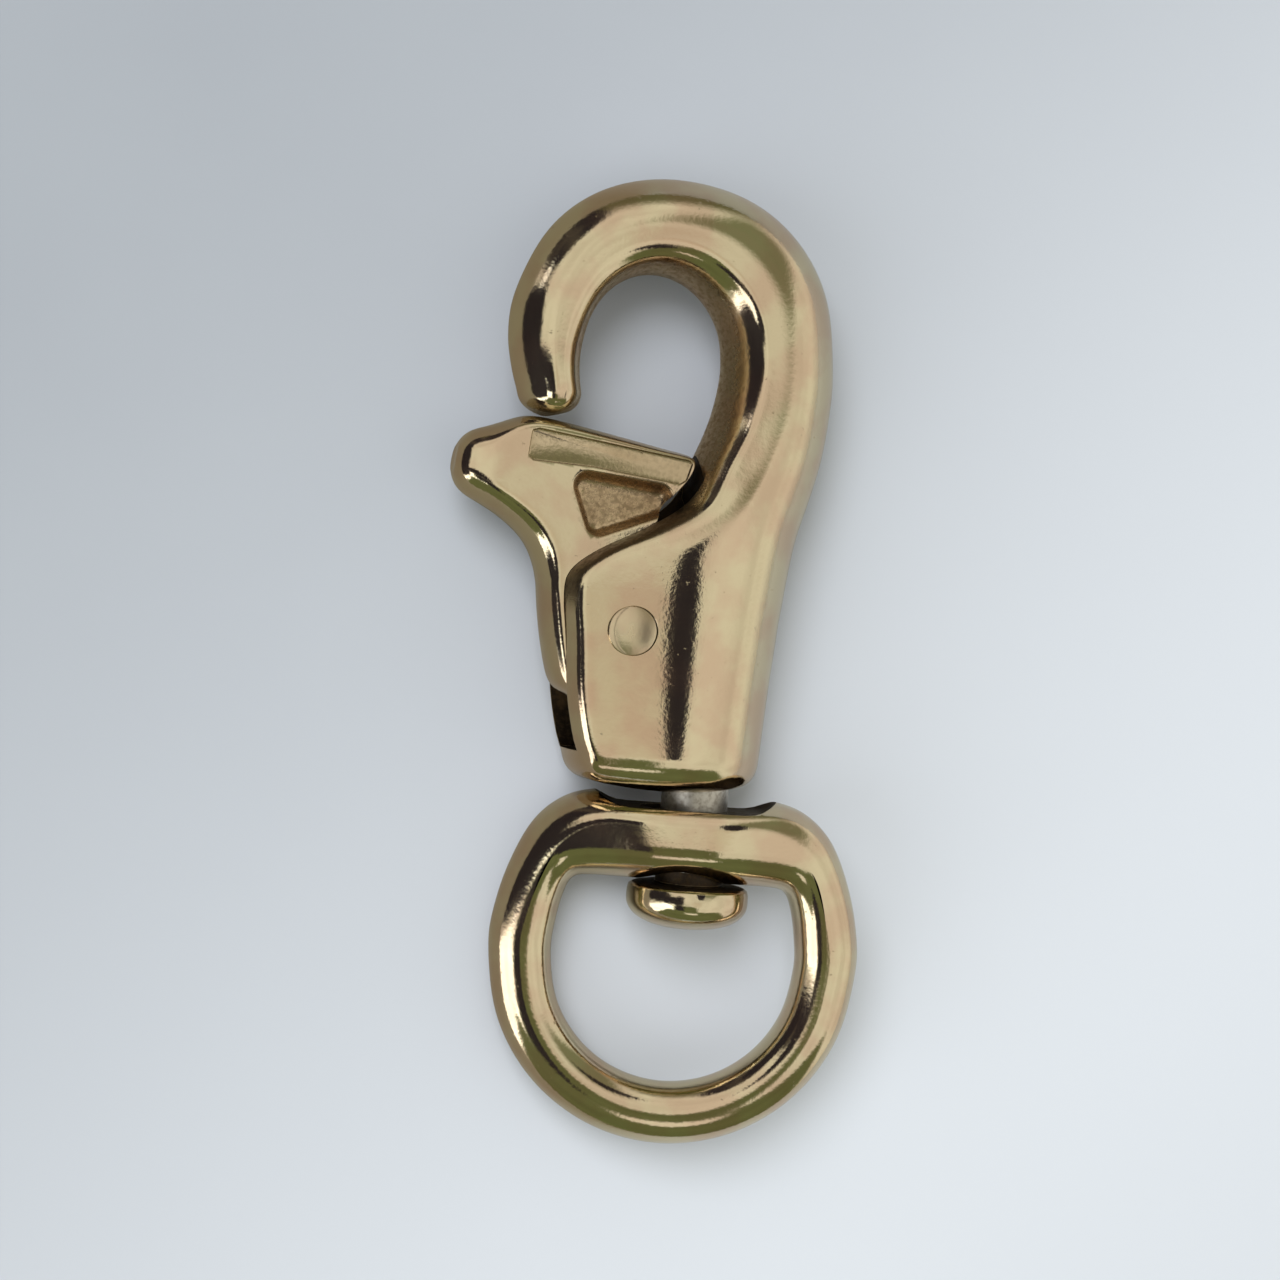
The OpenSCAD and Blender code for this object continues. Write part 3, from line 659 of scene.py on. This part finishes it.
# From the thumb tab along the gate to the nose, then down the lever to the toe
trigger_path = [
    [2.4 - TAB_REACH, 28.5, 3.2 - TAB_REACH, 35.75, trigger_half - 0.35, 0, 2.6, 2.6, 2, 0],
    trigger_station((4.1 - TAB_REACH, 27.7), (5.3 - TAB_REACH, 36.6), 2.3, 2.0),
    trigger_station((5.7 - TAB_REACH, 26.8), (7.5 - TAB_REACH, gate_y - 0.04), 2.3, 1.6),
    trigger_station((7.2 - TAB_REACH, 25.7), (10.6 - TAB_REACH, gate_y - 0.2), 2.4, 1.4),
    trigger_station(lever(-10.6, 8.35), (nose_x - 8.3, gate_y - 0.45 * GATE_FALL), 2.4, 1.3),
    trigger_station(lever(-9.85, 7.2), (nose_x - 3.1, gate_y - 0.78 * GATE_FALL), 2.4, 1.2),
    trigger_station(lever(-9.3, 5.95), (nose_x - 0.2, gate_y - GATE_FALL + 0.05), 2.3, 0.9),
    trigger_station(lever(-9.05, 5.15), (nose_x - 0.1, gate_y - GATE_FALL - 1.2), 2.2, 0.7),
    trigger_station(lever(-8.8, 4.15), (nose_x - 1.2, gate_y - GATE_FALL - 3), 2.1, 0.6),
    trigger_station(lever(-8.65, 3.05), lever(HUB_R - 1.6, 12.75), 2, 0.6),
    trigger_station(lever(-8.5, 1.75), lever(HUB_R - 1.6, 9.25), 2, 0.6),
    trigger_station(lever(-8.25, 0.15), lever(HUB_R - 0.5, 4.75), 1.9, 0.6),
    trigger_station(lever(-7.85, -1.85), lever(HUB_R, 0), 1.8, 0.6),
    trigger_station(lever(-7.35, -3.85), lever(HUB_R - 1.3, -3.2), 1.7, 0.6),
    trigger_station(lever(-6.85, -5.35), lever(0, -HUB_R), 1.5, 0.6),
    trigger_station(lever(-6.1, -6.4), (toe_face + 0.4, SPRING_Y + 2.2), 1.2, 0.6),
    trigger_station((toe_face - 2.3, SPRING_Y - 0.05), (toe_face, SPRING_Y + 1.2), 0.7, 0.5),
    trigger_station((toe_face - 1.7, SPRING_Y - 0.75), (toe_face, SPRING_Y - 0.75), 0.5, 0.5)]

PANEL_LEFT, PANEL_RIGHT, PANEL_DEPTH = -21.6, -4.4, 0.35
POCKET_DEPTH = 1.9
ARC_STEPS = 10


def sunk_shape(name, corners, levels):
    """Cutter with rounded corners. levels holds (corner radius, height) from floor to mouth."""
    points, faces = [], []
    for radius, z in levels:
        start = len(points)
        for before, corner, after in zip(corners[-1:] + corners, corners, corners[1:] + corners[:1]):
            a = math.atan2(corner[1] - before[1], corner[0] - before[0]) - math.pi / 2
            b = math.atan2(after[1] - corner[1], after[0] - corner[0]) - math.pi / 2
            turn = (b - a + math.pi) % (2 * math.pi) - math.pi
            if turn > 0:
                arc = [(a + turn * k / ARC_STEPS, radius) for k in range(ARC_STEPS + 1)]
            else:
                arc = [(a + turn / 2, radius / math.cos(turn / 2))]
            points += [(corner[0] + r * math.cos(t), corner[1] + r * math.sin(t), z) for t, r in arc]
        m = len(points) - start
    for i in range(len(levels) - 1):
        faces += [(i * m + j, i * m + (j + 1) % m, (i + 1) * m + (j + 1) % m, (i + 1) * m + j)
                  for j in range(m)]
    faces += [tuple(range(m))[::-1], tuple(range((len(levels) - 1) * m, len(levels) * m))]
    return new_mesh(name, points, faces)


def both_faces(name, corners, levels):
    """The same cutter on the front face and on the back face."""
    return [sunk_shape(f"{name}_{side}", corners, [(r, side * z) for r, z in levels])
            for side in (1, -1)]


# Corners go round anticlockwise; the radii grow from the floor's fillet to a soft mouth
pocket_corners = [(-14.9, 30.6), (-13.5, 27.1), (-7.5, 29.6), (-7.4, 30.0)]
pocket_levels = [(r, trigger_half - POCKET_DEPTH * d) for r, d in (
    (0.1, 1.0), (0.4, 0.985), (0.68, 0.93), (0.92, 0.82), (1.12, 0.64), (1.28, 0.42),
    (1.38, 0.22), (1.46, 0.09), (1.57, 0.02), (1.75, -0.02), (2.2, -0.1))]
panel_corners = [(PANEL_LEFT + 0.5, 33.3), (PANEL_LEFT + 0.9, 32.9), (-14.5, 32.8),
                 (PANEL_RIGHT - 0.9, 31.9), (PANEL_RIGHT - 0.4, 32.25), (PANEL_RIGHT + 0.05, 33.8),
                 (PANEL_RIGHT - 0.1, 33.95), (PANEL_LEFT + 1.2, 35.7), (PANEL_LEFT + 0.7, 35.5)]
panel_levels = [(0.05, trigger_half - PANEL_DEPTH), (0.17, trigger_half - PANEL_DEPTH + 0.07),
                (0.22, trigger_half - 0.1), (0.27, trigger_half - 0.02), (0.34, trigger_half + 0.01),
                (0.5, trigger_half + 0.2)]

tab = rounded_end(trigger_path[0], -1, reach=2.2, radius=1.7, drop=1.8, bow=0.1, taper=0.18)
toe = rounded_end(trigger_path[-1], 1, reach=0.7, radius=0.4, drop=0.5, bow=0)
trigger = loft("trigger_casting", tab[::-1] + fill(trigger_path) + toe, 2, along=26, around=1)
trigger.data.materials.append(POLISHED)
hub_bore = drill("hub_bore", PIN_R + PIN_PLAY, (-PIVOT_OFFSET, PIVOT_HEIGHT, -SLOT_W),
                 (0, 0, 1), 2 * SLOT_W)
# The bore of the hub takes the near-black material: painted shade
hub_bore.data.materials.append(PAINTED_SHADE)
pockets = both_faces("pocket", pocket_corners, pocket_levels)
panels = both_faces("panel", panel_corners, panel_levels)
PANEL_SKIN = plated("unpolished_panel", (0.58, 0.48, 0.33), (0.52, 0.42, 0.28), 0.18, 0.8, 25, 0.15)
POCKET_SKIN = plated("cored_pocket", (0.56, 0.43, 0.28), (0.44, 0.32, 0.20), 0.24, 1.0, 60, 0.45)
for cutter in panels:
    cutter.data.materials.append(PANEL_SKIN)
for cutter in pockets:
    cutter.data.materials.append(POCKET_SKIN)
cut(trigger, hub_bore, *panels, *pockets)
shade(trigger, 35)
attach(trigger, "trigger")
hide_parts("trigger")

# ---- Trigger spring --------------------------------------------------------
# A short compression spring of bare wire between the toe and its seat in the back wall.
# The real one shortens as the trigger opens; here it keeps its length with the trigger shut.

SPRING_TURNS, CLOSED_TURNS = 7, 1
WIRE_SIDES, COIL_STEPS = 14, 40
END_PLAY = 0.1
spring_left = toe_face + END_PLAY + WIRE / 2
spring_right = BACK_WALL_X + SPRING_SEAT - END_PLAY - WIRE / 2
closed_pitch = 1.1 * WIRE
closed_len = CLOSED_TURNS * closed_pitch
open_pitch = (spring_right - spring_left - 2 * closed_len) / (SPRING_TURNS - 2 * CLOSED_TURNS)
coil = []
for i in range(SPRING_TURNS * COIL_STEPS + 1):
    t, a = i / COIL_STEPS, 2 * math.pi * i / COIL_STEPS
    x = spring_left + closed_pitch * min(t, CLOSED_TURNS)
    x += open_pitch * min(max(t - CLOSED_TURNS, 0), SPRING_TURNS - 2 * CLOSED_TURNS)
    x += closed_pitch * max(t - SPRING_TURNS + CLOSED_TURNS, 0)
    for k in range(WIRE_SIDES):
        b = 2 * math.pi * k / WIRE_SIDES
        r = SPRING_R + WIRE / 2 * math.cos(b)
        coil.append((x + WIRE / 2 * math.sin(b), SPRING_Y + r * math.cos(a), r * math.sin(a)))
rings = len(coil) // WIRE_SIDES
coil_faces = [(i * WIRE_SIDES + k, i * WIRE_SIDES + (k + 1) % WIRE_SIDES,
               (i + 1) * WIRE_SIDES + (k + 1) % WIRE_SIDES, (i + 1) * WIRE_SIDES + k)
              for i in range(rings - 1) for k in range(WIRE_SIDES)]
coil_faces += [tuple(range(WIRE_SIDES))[::-1],
               tuple(range((rings - 1) * WIRE_SIDES, rings * WIRE_SIDES))]
spring = new_mesh("spring_coil", coil, coil_faces)
WIRE_STEEL = plated("bare_wire", (0.50, 0.49, 0.47), (0.44, 0.42, 0.39), 0.3, 0.3, 2, 0.2)
spring.data.materials.append(WIRE_STEEL)
shade(spring, 60)
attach(spring, "snap_body")
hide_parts("trigger_spring")
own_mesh(spring)

# ---- Swivel stud -----------------------------------------------------------
# A headed stud is pressed into the foot and carries the eye. Its head is domed by
# forging and plated with the rest; the shank stays dull where the plating is thin.

SHOULDER_TOP, BAR_HEIGHT, HEAD_GAP = -0.35, 9.1, 0.3
HEAD_R, HEAD_LEN = 6.4, 4.6
bar_under = SHOULDER_TOP - BAR_HEIGHT
head_top = bar_under - HEAD_GAP
LIP, HEAD_SIDE, DOME_STEPS = 0.5, 1.6, 24
widest = head_top - HEAD_SIDE
belly = HEAD_LEN - HEAD_SIDE
# Below this the shank and the bearing face lie in the shade of the bore, and that shade is painted on
# them with the near-black material
shade_top = bar_under + 1.2
stud_profile = [(0, STUD_GRIP - PRESS_GAP), (STUD_R - 0.3, STUD_GRIP - PRESS_GAP),
                (STUD_R, STUD_GRIP - 0.3), (STUD_R, shade_top), (STUD_R, head_top + 0.2),
                (STUD_R + 0.2, head_top),
                (HEAD_R - 2 * LIP, head_top), (HEAD_R - LIP, head_top - 0.2 * LIP),
                (HEAD_R - 0.3 * LIP, head_top - 0.65 * LIP),
                (HEAD_R - 0.06 * LIP, head_top - 1.5 * LIP)]
for k in range(DOME_STEPS + 1):
    a = math.pi / 2 * k / DOME_STEPS
    stud_profile.append((HEAD_R * max(math.cos(a), 0) ** 0.8, widest - belly * math.sin(a) ** 0.9))
stud_profile[-1] = (0, widest - belly)
stud = lathe("swivel_stud_turned", stud_profile, (0, 0, 0), (0, 1, 0), 160)
stud.data.materials.append(POLISHED)
SHANK = plated("worn_shank", (0.66, 0.65, 0.62), (0.56, 0.54, 0.50), 0.36, 1.0, 20, 0.35)
stud.data.materials.append(SHANK)
stud.data.materials.append(PAINTED_SHADE)
for p in stud.data.polygons:
    y = (p.center.y - FOOT[1]) / MM
    p.material_index = 1 if y > shade_top else 2 if y > head_top - 0.15 else 0
shade(stud, 40)
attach(stud, "snap_body")
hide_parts("swivel_stud")

# ---- Swivel eye ------------------------------------------------------------
# The eye is a D-shaped casting. A thick bar across its top is drilled for the stud and
# has a round recess that clears the foot. It is loose, and lies over on one side.

EYE_IN_W, EYE_STOCK, EYE_IN_LEN = 25.6, 6.6, 21.2
RING_HALF, BAR_HALF, EYE_SOFT = 3.3, 6.0, 2.05
EYE_SHIFT, STUD_PLAY, TILT_REACH = 1.0, 0.1, 0.18
RECESS_R, RECESS_DEPTH = 9.2, 1.45
eye_in_r = EYE_IN_W / 2
eye_out_r = eye_in_r + EYE_STOCK
eye_bottom_in = bar_under - EYE_IN_LEN
eye_bottom = eye_bottom_in - (EYE_STOCK - 0.15)
eye_in_y, eye_out_y = eye_bottom_in + eye_in_r, eye_bottom + eye_out_r
eye_mid_r = (EYE_IN_W + EYE_STOCK) / 2
eye_lie = math.asin((HOUSING_HALF - RING_HALF - TILT_REACH) / (eye_mid_r + EYE_SHIFT))


def eye_station(x1, y1, x2, y2, half, flank_in, flank_out):
    return [x1, y1, x2, y2, half, 0, flank_in, flank_out, EYE_SOFT, 0]


def eye_arc(degrees):
    a = math.radians(degrees)
    return eye_station(eye_in_r * math.cos(a), eye_in_y + eye_in_r * math.sin(a),
                       eye_out_r * math.cos(a), eye_out_y + eye_out_r * math.sin(a),
                       RING_HALF, 2.9, 3.3)


def mirrored(s):
    return [-s[0], s[1], -s[2], *s[3:]]


# Right half of the eye, from just past the bottom up to near the middle of the bar
eye_side = [
    *[eye_arc(a) for a in (-67.5, -45, -22.5, 0)],
    eye_station(eye_in_r - 0.2, bar_under - 5.3, eye_out_r - 0.3, bar_under - 3.9,
                RING_HALF + 0.1, 3, 3.4),
    eye_station(eye_in_r - 0.75, bar_under - 2.4, eye_out_r - 1.5, bar_under + 0.7,
                RING_HALF + 0.3, 3.2, 3.6),
    eye_station(eye_in_r - 1.7, bar_under - 0.35, eye_out_r - 3.6, SHOULDER_TOP - 3.9,
                RING_HALF + 0.7, 3.5, 3.8),
    eye_station(eye_in_r - 3.8, bar_under, eye_out_r - 6.5, SHOULDER_TOP - 1.2,
                BAR_HALF - 1.5, 3.7, 3.6),
    eye_station(eye_in_r - 6.8, bar_under, eye_out_r - 9.9, SHOULDER_TOP - 0.1,
                BAR_HALF - 0.85, 3.8, 3.2),
    eye_station(eye_in_r - 9.8, bar_under, eye_out_r - 14.4, SHOULDER_TOP,
                BAR_HALF - 0.1, 3.8, 3)]
bar_middle = eye_station(0, bar_under, 0, SHOULDER_TOP, BAR_HALF, 3.8, 3)
eye_path = [eye_arc(-90), *[mirrored(s) for s in eye_side], bar_middle, *eye_side[::-1]]
eye = loft("swivel_eye_casting", fill(eye_path, closed=True), 2, closed=True, along=10, around=2)
eye.data.materials.append(POLISHED)
eye_bore = drill("eye_bore", STUD_R + EYE_SHIFT + STUD_PLAY, (0, bar_under - PAST, 0),
                 (0, 1, 0), BAR_HEIGHT + 2 * PAST)
recess = lathe("recess", [
    (0, 0), (RECESS_R - 1.5, 0), (RECESS_R - 0.85, 0.1), (RECESS_R - 0.35, 0.35),
    (RECESS_R, 0.8), (RECESS_R + 0.25, 1.2), (RECESS_R + 0.8, RECESS_DEPTH + 0.1),
    (RECESS_R + 3, RECESS_DEPTH + 0.7), (0, RECESS_DEPTH + 0.7)],
    (0, SHOULDER_TOP - RECESS_DEPTH, 0), (0, 1, 0))
# The bore and the recess of the eye take the near-black material: painted shade
for cutter in (eye_bore, recess):
    cutter.data.materials.append(PAINTED_SHADE)
cut(eye, eye_bore, recess)

# The loose eye hangs to one side of the stud and lies over
co = np.array([v.co for v in eye.data.vertices])
local = (co - FOOT) / MM
local[:, 0] -= EYE_SHIFT
x, z = local[:, 0].copy(), local[:, 2].copy()
local[:, 0] = x * math.cos(eye_lie) - z * math.sin(eye_lie)
local[:, 2] = x * math.sin(eye_lie) + z * math.cos(eye_lie)
eye.data.vertices.foreach_set("co", (FOOT + local * MM).ravel())
shade(eye, 35)
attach(eye, "eye")
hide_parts("swivel_eye")

# ---- Table, light and camera -----------------------------------------------
# The snap lies on pale bluish paper under a soft cream ceiling. The metal mirrors a plain room,
# dark to the west and north-west, with a window in the west-south-west and olive to the north,
# north-east and south. Its shine also holds painted reflections: glowing cards close by, in the place of
# someone leaning over it.

floor_mesh = bpy.data.meshes.new("paper")
HALF_FLOOR = 1.5
floor_mesh.from_pydata([(x * HALF_FLOOR, y * HALF_FLOOR, 0) for x, y in
                        ((-1, -1), (1, -1), (1, 1), (-1, 1))], [], [(0, 1, 2, 3)])
floor = bpy.data.objects.new("paper", floor_mesh)
bpy.context.collection.objects.link(floor)
PAPER, PAPER_BLOT, PAPER_PAINTED_LIGHT = (0.36, 0.40, 0.48), (0.39, 0.435, 0.515), (0.71, 0.775, 0.905)
PAPER_SHADE_IN_SHINE = (0.20, 0.17, 0.10)
paper = bpy.data.materials.new("pale_paper")
paper.use_nodes = True
pn, plink = paper.node_tree.nodes, paper.node_tree.links.new
place = pn.new("ShaderNodeTexCoord").outputs["Object"]
blotch = noise(pn, plink, place, 28 * MM, 3)
tint = blend(pn, plink, blotch, PAPER, PAPER_BLOT)
# Painted light: its colour grows lighter from the north-west corner to the south-east, in place of light
# that grows across it
spot = split_xyz(pn, plink, place)
corner = maths(pn, plink, "SUBTRACT", spot["X"], spot["Y"])
tint = blend(pn, plink, ramp(pn, plink, corner, -0.13, 0.11), tint, PAPER_PAINTED_LIGHT)
# Painted shade: in the shine of the metal only, the west side of the paper is painted dim and brown, as
# if it lay under a sleeve
shine = pn.new("ShaderNodeLightPath").outputs["Is Glossy Ray"]
shine = maths(pn, plink, "MULTIPLY", shine, ramp(pn, plink, spot["X"], -0.02, 0.012, 0.8, 0.35))
plink(blend(pn, plink, shine, tint, PAPER_SHADE_IN_SHINE), pn["Principled BSDF"].inputs["Base Color"])
pn["Principled BSDF"].inputs["Roughness"].default_value = 0.9
pn["Principled BSDF"].inputs["Specular IOR Level"].default_value = 0.1
floor_mesh.materials.append(paper)


def room_map_group():
    """Lays the room flat: degrees from straight up, towards the east (x) and the north (y)."""
    g, n, link, inp, out = new_group("room_map", [("Direction", "Vector")], [("Map", "Vector")])
    way = split_xyz(n, link, inp.outputs[0])
    level = n.new("ShaderNodeCombineXYZ")
    for key in "XY":
        link(way[key], level.inputs[key])
    unit = vectors(n, link, "NORMALIZE", level.outputs[0])
    angle = maths(n, link, "ARCCOSINE", maths(n, link, "MINIMUM", way["Z"], 0.99999))
    flat = vectors(n, link, "SCALE", unit.outputs[0])
    link(maths(n, link, "MULTIPLY", angle, 180 / math.pi), flat.inputs["Scale"])
    link(flat.outputs[0], out.inputs[0])
    return g


def patch_group():
    """Soft-edged oblong patch on the flattened room."""
    g, n, link, inp, out = new_group(
        "room_patch",
        [("Map", "Vector"), ("Centre", "Vector"), ("Half", "Vector"), ("Twist", "Float"),
         ("Edge", "Float"), ("Strength", "Float")], [("Mask", "Float")])
    turn = n.new("ShaderNodeVectorRotate")
    turn.rotation_type = "Z_AXIS"
    link(inp.outputs["Map"], turn.inputs["Vector"])
    link(inp.outputs["Centre"], turn.inputs["Center"])
    link(maths(n, link, "MULTIPLY", inp.outputs["Twist"], -math.pi / 180), turn.inputs["Angle"])
    off = vectors(n, link, "SUBTRACT", turn.outputs[0], inp.outputs["Centre"])
    share = vectors(n, link, "DIVIDE", off.outputs[0], inp.outputs["Half"])
    part = split_xyz(n, link, share.outputs[0])
    cubes = [maths(n, link, "POWER", maths(n, link, "ABSOLUTE", part[k]), 3) for k in "XY"]
    reach = maths(n, link, "POWER", maths(n, link, "ADD", *cubes), 1 / 3)
    fade = ramp(n, link, reach, maths(n, link, "SUBTRACT", 1, inp.outputs["Edge"]),
                maths(n, link, "ADD", 1, inp.outputs["Edge"]), 1, 0)
    link(maths(n, link, "MULTIPLY", fade, inp.outputs["Strength"]), out.inputs[0])
    return g


PATCH = patch_group()
world = bpy.data.worlds.new("soft_room")
bpy.context.scene.world = world
world.use_nodes = True
wn, wlink = world.node_tree.nodes, world.node_tree.links.new
flat_room = group_node(wn, room_map_group())
wlink(wn.new("ShaderNodeTexCoord").outputs["Generated"], flat_room.inputs[0])
CREAM, LOW = (0.90, 0.86, 0.75), (0.62, 0.60, 0.56)
OLIVE, MOSS = (0.16, 0.18, 0.08), (0.12, 0.12, 0.05)
DARK, DIM, WINDOW = (0.03, 0.025, 0.03), (0.55, 0.42, 0.30), (2.6, 2.6, 2.5)
CLOUD, PALE_WALL = (0.30, 0.25, 0.18), (0.60, 0.64, 0.70)

# Each patch, in degrees of the flattened room: middle of it, half sizes, twist, and then
# softness of its edge, strength, colour. A later one lies over the earlier ones.
PATCHES = [
    ((0, 0), (84, 84), 0, 0.12, 1.0, CREAM),
    ((0, 112), (100, 42), 0, 0.22, 0.95, MOSS),
    ((2, -88), (64, 52), 0, 0.14, 1.0, OLIVE),
    ((34, 40), (30, 19), 50, 0.3, 0.9, OLIVE),
    ((-48, 63), (27, 22), 37, 0.16, 1.0, DARK),
    ((-66, 32), (5, 12), -30, 0.3, 0.7, WINDOW),
    ((-78, 13), (32, 15), 0, 0.12, 1.0, DARK),
    ((-62, -31), (32, 24), 14, 0.12, 1.0, WINDOW),
    ((3, -3), (8, 6), 0, 0.6, 0.4, DIM),
]
room = LOW
for middle, half, twist, edge, strength, colour in PATCHES:
    patch = group_node(wn, PATCH)
    for key, v in (("Map", flat_room.outputs[0]), ("Centre", (*middle, 0)), ("Half", (*half, 1)),
                   ("Twist", twist), ("Edge", edge), ("Strength", strength)):
        feed(wlink, patch.inputs[key], v)
    room = blend(wn, wlink, patch.outputs[0], room, colour)
cloud = noise(wn, wlink, flat_room.outputs[0], 22, 3)
room = blend(wn, wlink, ramp(wn, wlink, cloud, 0.35, 0.65, 0.22, 0.0), room, CLOUD)
# The camera itself sees only a pale plain wall
seen = wn.new("ShaderNodeLightPath").outputs["Is Camera Ray"]
wlink(blend(wn, wlink, seen, room, PALE_WALL), wn["Background"].inputs["Color"])
wn["Background"].inputs["Strength"].default_value = 1.0


def reflected_card(name, corners, colour, square, soft):
    """Painted reflection: a glowing card near the snap that only shows in its shine, in the place of
    something held there. Corners are in mm.
    square is 2 for an oval and more for a box; its edge fades and wanders."""
    mesh = bpy.data.meshes.new(name)
    mesh.from_pydata([[v * MM for v in c] for c in corners], [], [(0, 1, 2, 3)])
    for loop, uv in zip(mesh.uv_layers.new(name="card").data, ((0, 0), (1, 0), (1, 1), (0, 1))):
        loop.uv = uv
    obj = bpy.data.objects.new(name, mesh)
    bpy.context.collection.objects.link(obj)
    for ray in ("camera", "diffuse", "shadow", "transmission", "volume_scatter"):
        setattr(obj, "visible_" + ray, False)
    m = bpy.data.materials.new(name)
    m.use_nodes = True
    n, link = m.node_tree.nodes, m.node_tree.links.new
    place = n.new("ShaderNodeTexCoord").outputs["UV"]
    spot = split_xyz(n, link, place)
    sides = [maths(n, link, "POWER", maths(n, link, "ABSOLUTE", maths(
        n, link, "MULTIPLY_ADD", spot[k], 2.0, -1.0)), square) for k in "XY"]
    reach = maths(n, link, "POWER", maths(n, link, "ADD", *sides), 1 / square)
    wander = maths(n, link, "MULTIPLY_ADD", noise(n, link, place, 0.12, 4, 0.6), soft, reach)
    mask = ramp(n, link, wander, 1 - soft, 1 + 0.5 * soft, 1.0, 0.0)
    glow = n.new("ShaderNodeEmission")
    link(blend(n, link, noise(n, link, place, 0.3, 3), tuple(0.7 * c for c in colour),
               tuple(1.2 * c for c in colour)), glow.inputs["Color"])
    mix = n.new("ShaderNodeMixShader")
    link(mask, mix.inputs[0])
    link(n.new("ShaderNodeBsdfTransparent").outputs[0], mix.inputs[1])
    link(glow.outputs[0], mix.inputs[2])
    link(mix.outputs[0], n["Material Output"].inputs["Surface"])
    mesh.materials.append(m)


def level_corners(x1, y1, x2, y2, z):
    return [(x1, y1, z), (x2, y1, z), (x2, y2, z), (x1, y2, z)]


# Painted reflections: glowing cards that stand in for someone leaning over the snap
reflected_card("green_shirt_reflection", [(-260, -270, 1), (250, -270, 1), (250, -140, 207), (-260, -140, 207)],
               OLIVE, 6, 0.12)
reflected_card("green_front_reflection", level_corners(-175, -200, 37, -40, 207), OLIVE, 5, 0.15)
reflected_card("bright_gap_reflection", level_corners(-32, -140, 26, -98, 100), (1.0, 0.95, 0.84), 3, 0.2)
reflected_card("dark_cuff_reflection", level_corners(-150, -150, -58, -45, 200), DARK, 5, 0.12)
reflected_card("dark_strap_reflection", level_corners(6, -18, 25.5, 20, 67), DARK, 2.4, 0.1)
reflected_card("dark_sleeve_reflection", level_corners(-340, -52, -66, 35, 205), DARK, 7, 0.08)
reflected_card("dark_edge_reflection", [(-104, -34, 2), (-88, -34, 72), (-88, 90, 72), (-104, 90, 2)],
               DARK, 6, 0.1)

lamp = bpy.data.lights.new("soft_overhead", "AREA")
lamp.shape = "DISK"
lamp.size = 0.5
lamp.energy = 4.0
lamp.color = (1.0, 0.98, 0.95)
lamp_obj = bpy.data.objects.new("soft_overhead", lamp)
lamp_obj.location = (-0.35, 0.35, 0.75)
lamp_obj.rotation_euler = (-lamp_obj.location).to_track_quat("-Z", "Y").to_euler()
lamp_obj.visible_glossy = False
bpy.context.collection.objects.link(lamp_obj)

# The camera leans 15 degrees to the west of straight down, and is rolled a little
LEAN, ROLL = math.radians(15), math.radians(4.5)
DISTANCE, VIEW_WIDTH = 220 * MM, 133.33 * MM
AIM_X, AIM_Y = -7.27, 15.4
target = Vector(FOOT + np.array([AIM_X, AIM_Y, 0]) * MM)
back = Vector((-math.sin(LEAN), 0, math.cos(LEAN)))
level, north = Vector((math.cos(LEAN), 0, math.sin(LEAN))), Vector((0, 1, 0))
right = level * math.cos(ROLL) + north * math.sin(ROLL)
up = north * math.cos(ROLL) - level * math.sin(ROLL)
cam = bpy.data.cameras.new("camera")
cam.sensor_fit = "HORIZONTAL"
cam.angle = 2 * math.atan(VIEW_WIDTH / 2 / DISTANCE)
cam.clip_start = 0.005
camera = bpy.data.objects.new("camera", cam)
camera.matrix_world = (Matrix.Translation(target + back * DISTANCE)
                       @ Matrix((right, up, back)).transposed().to_4x4())
bpy.context.collection.objects.link(camera)
bpy.context.scene.camera = camera
bpy.context.scene.view_settings.view_transform = "Standard"
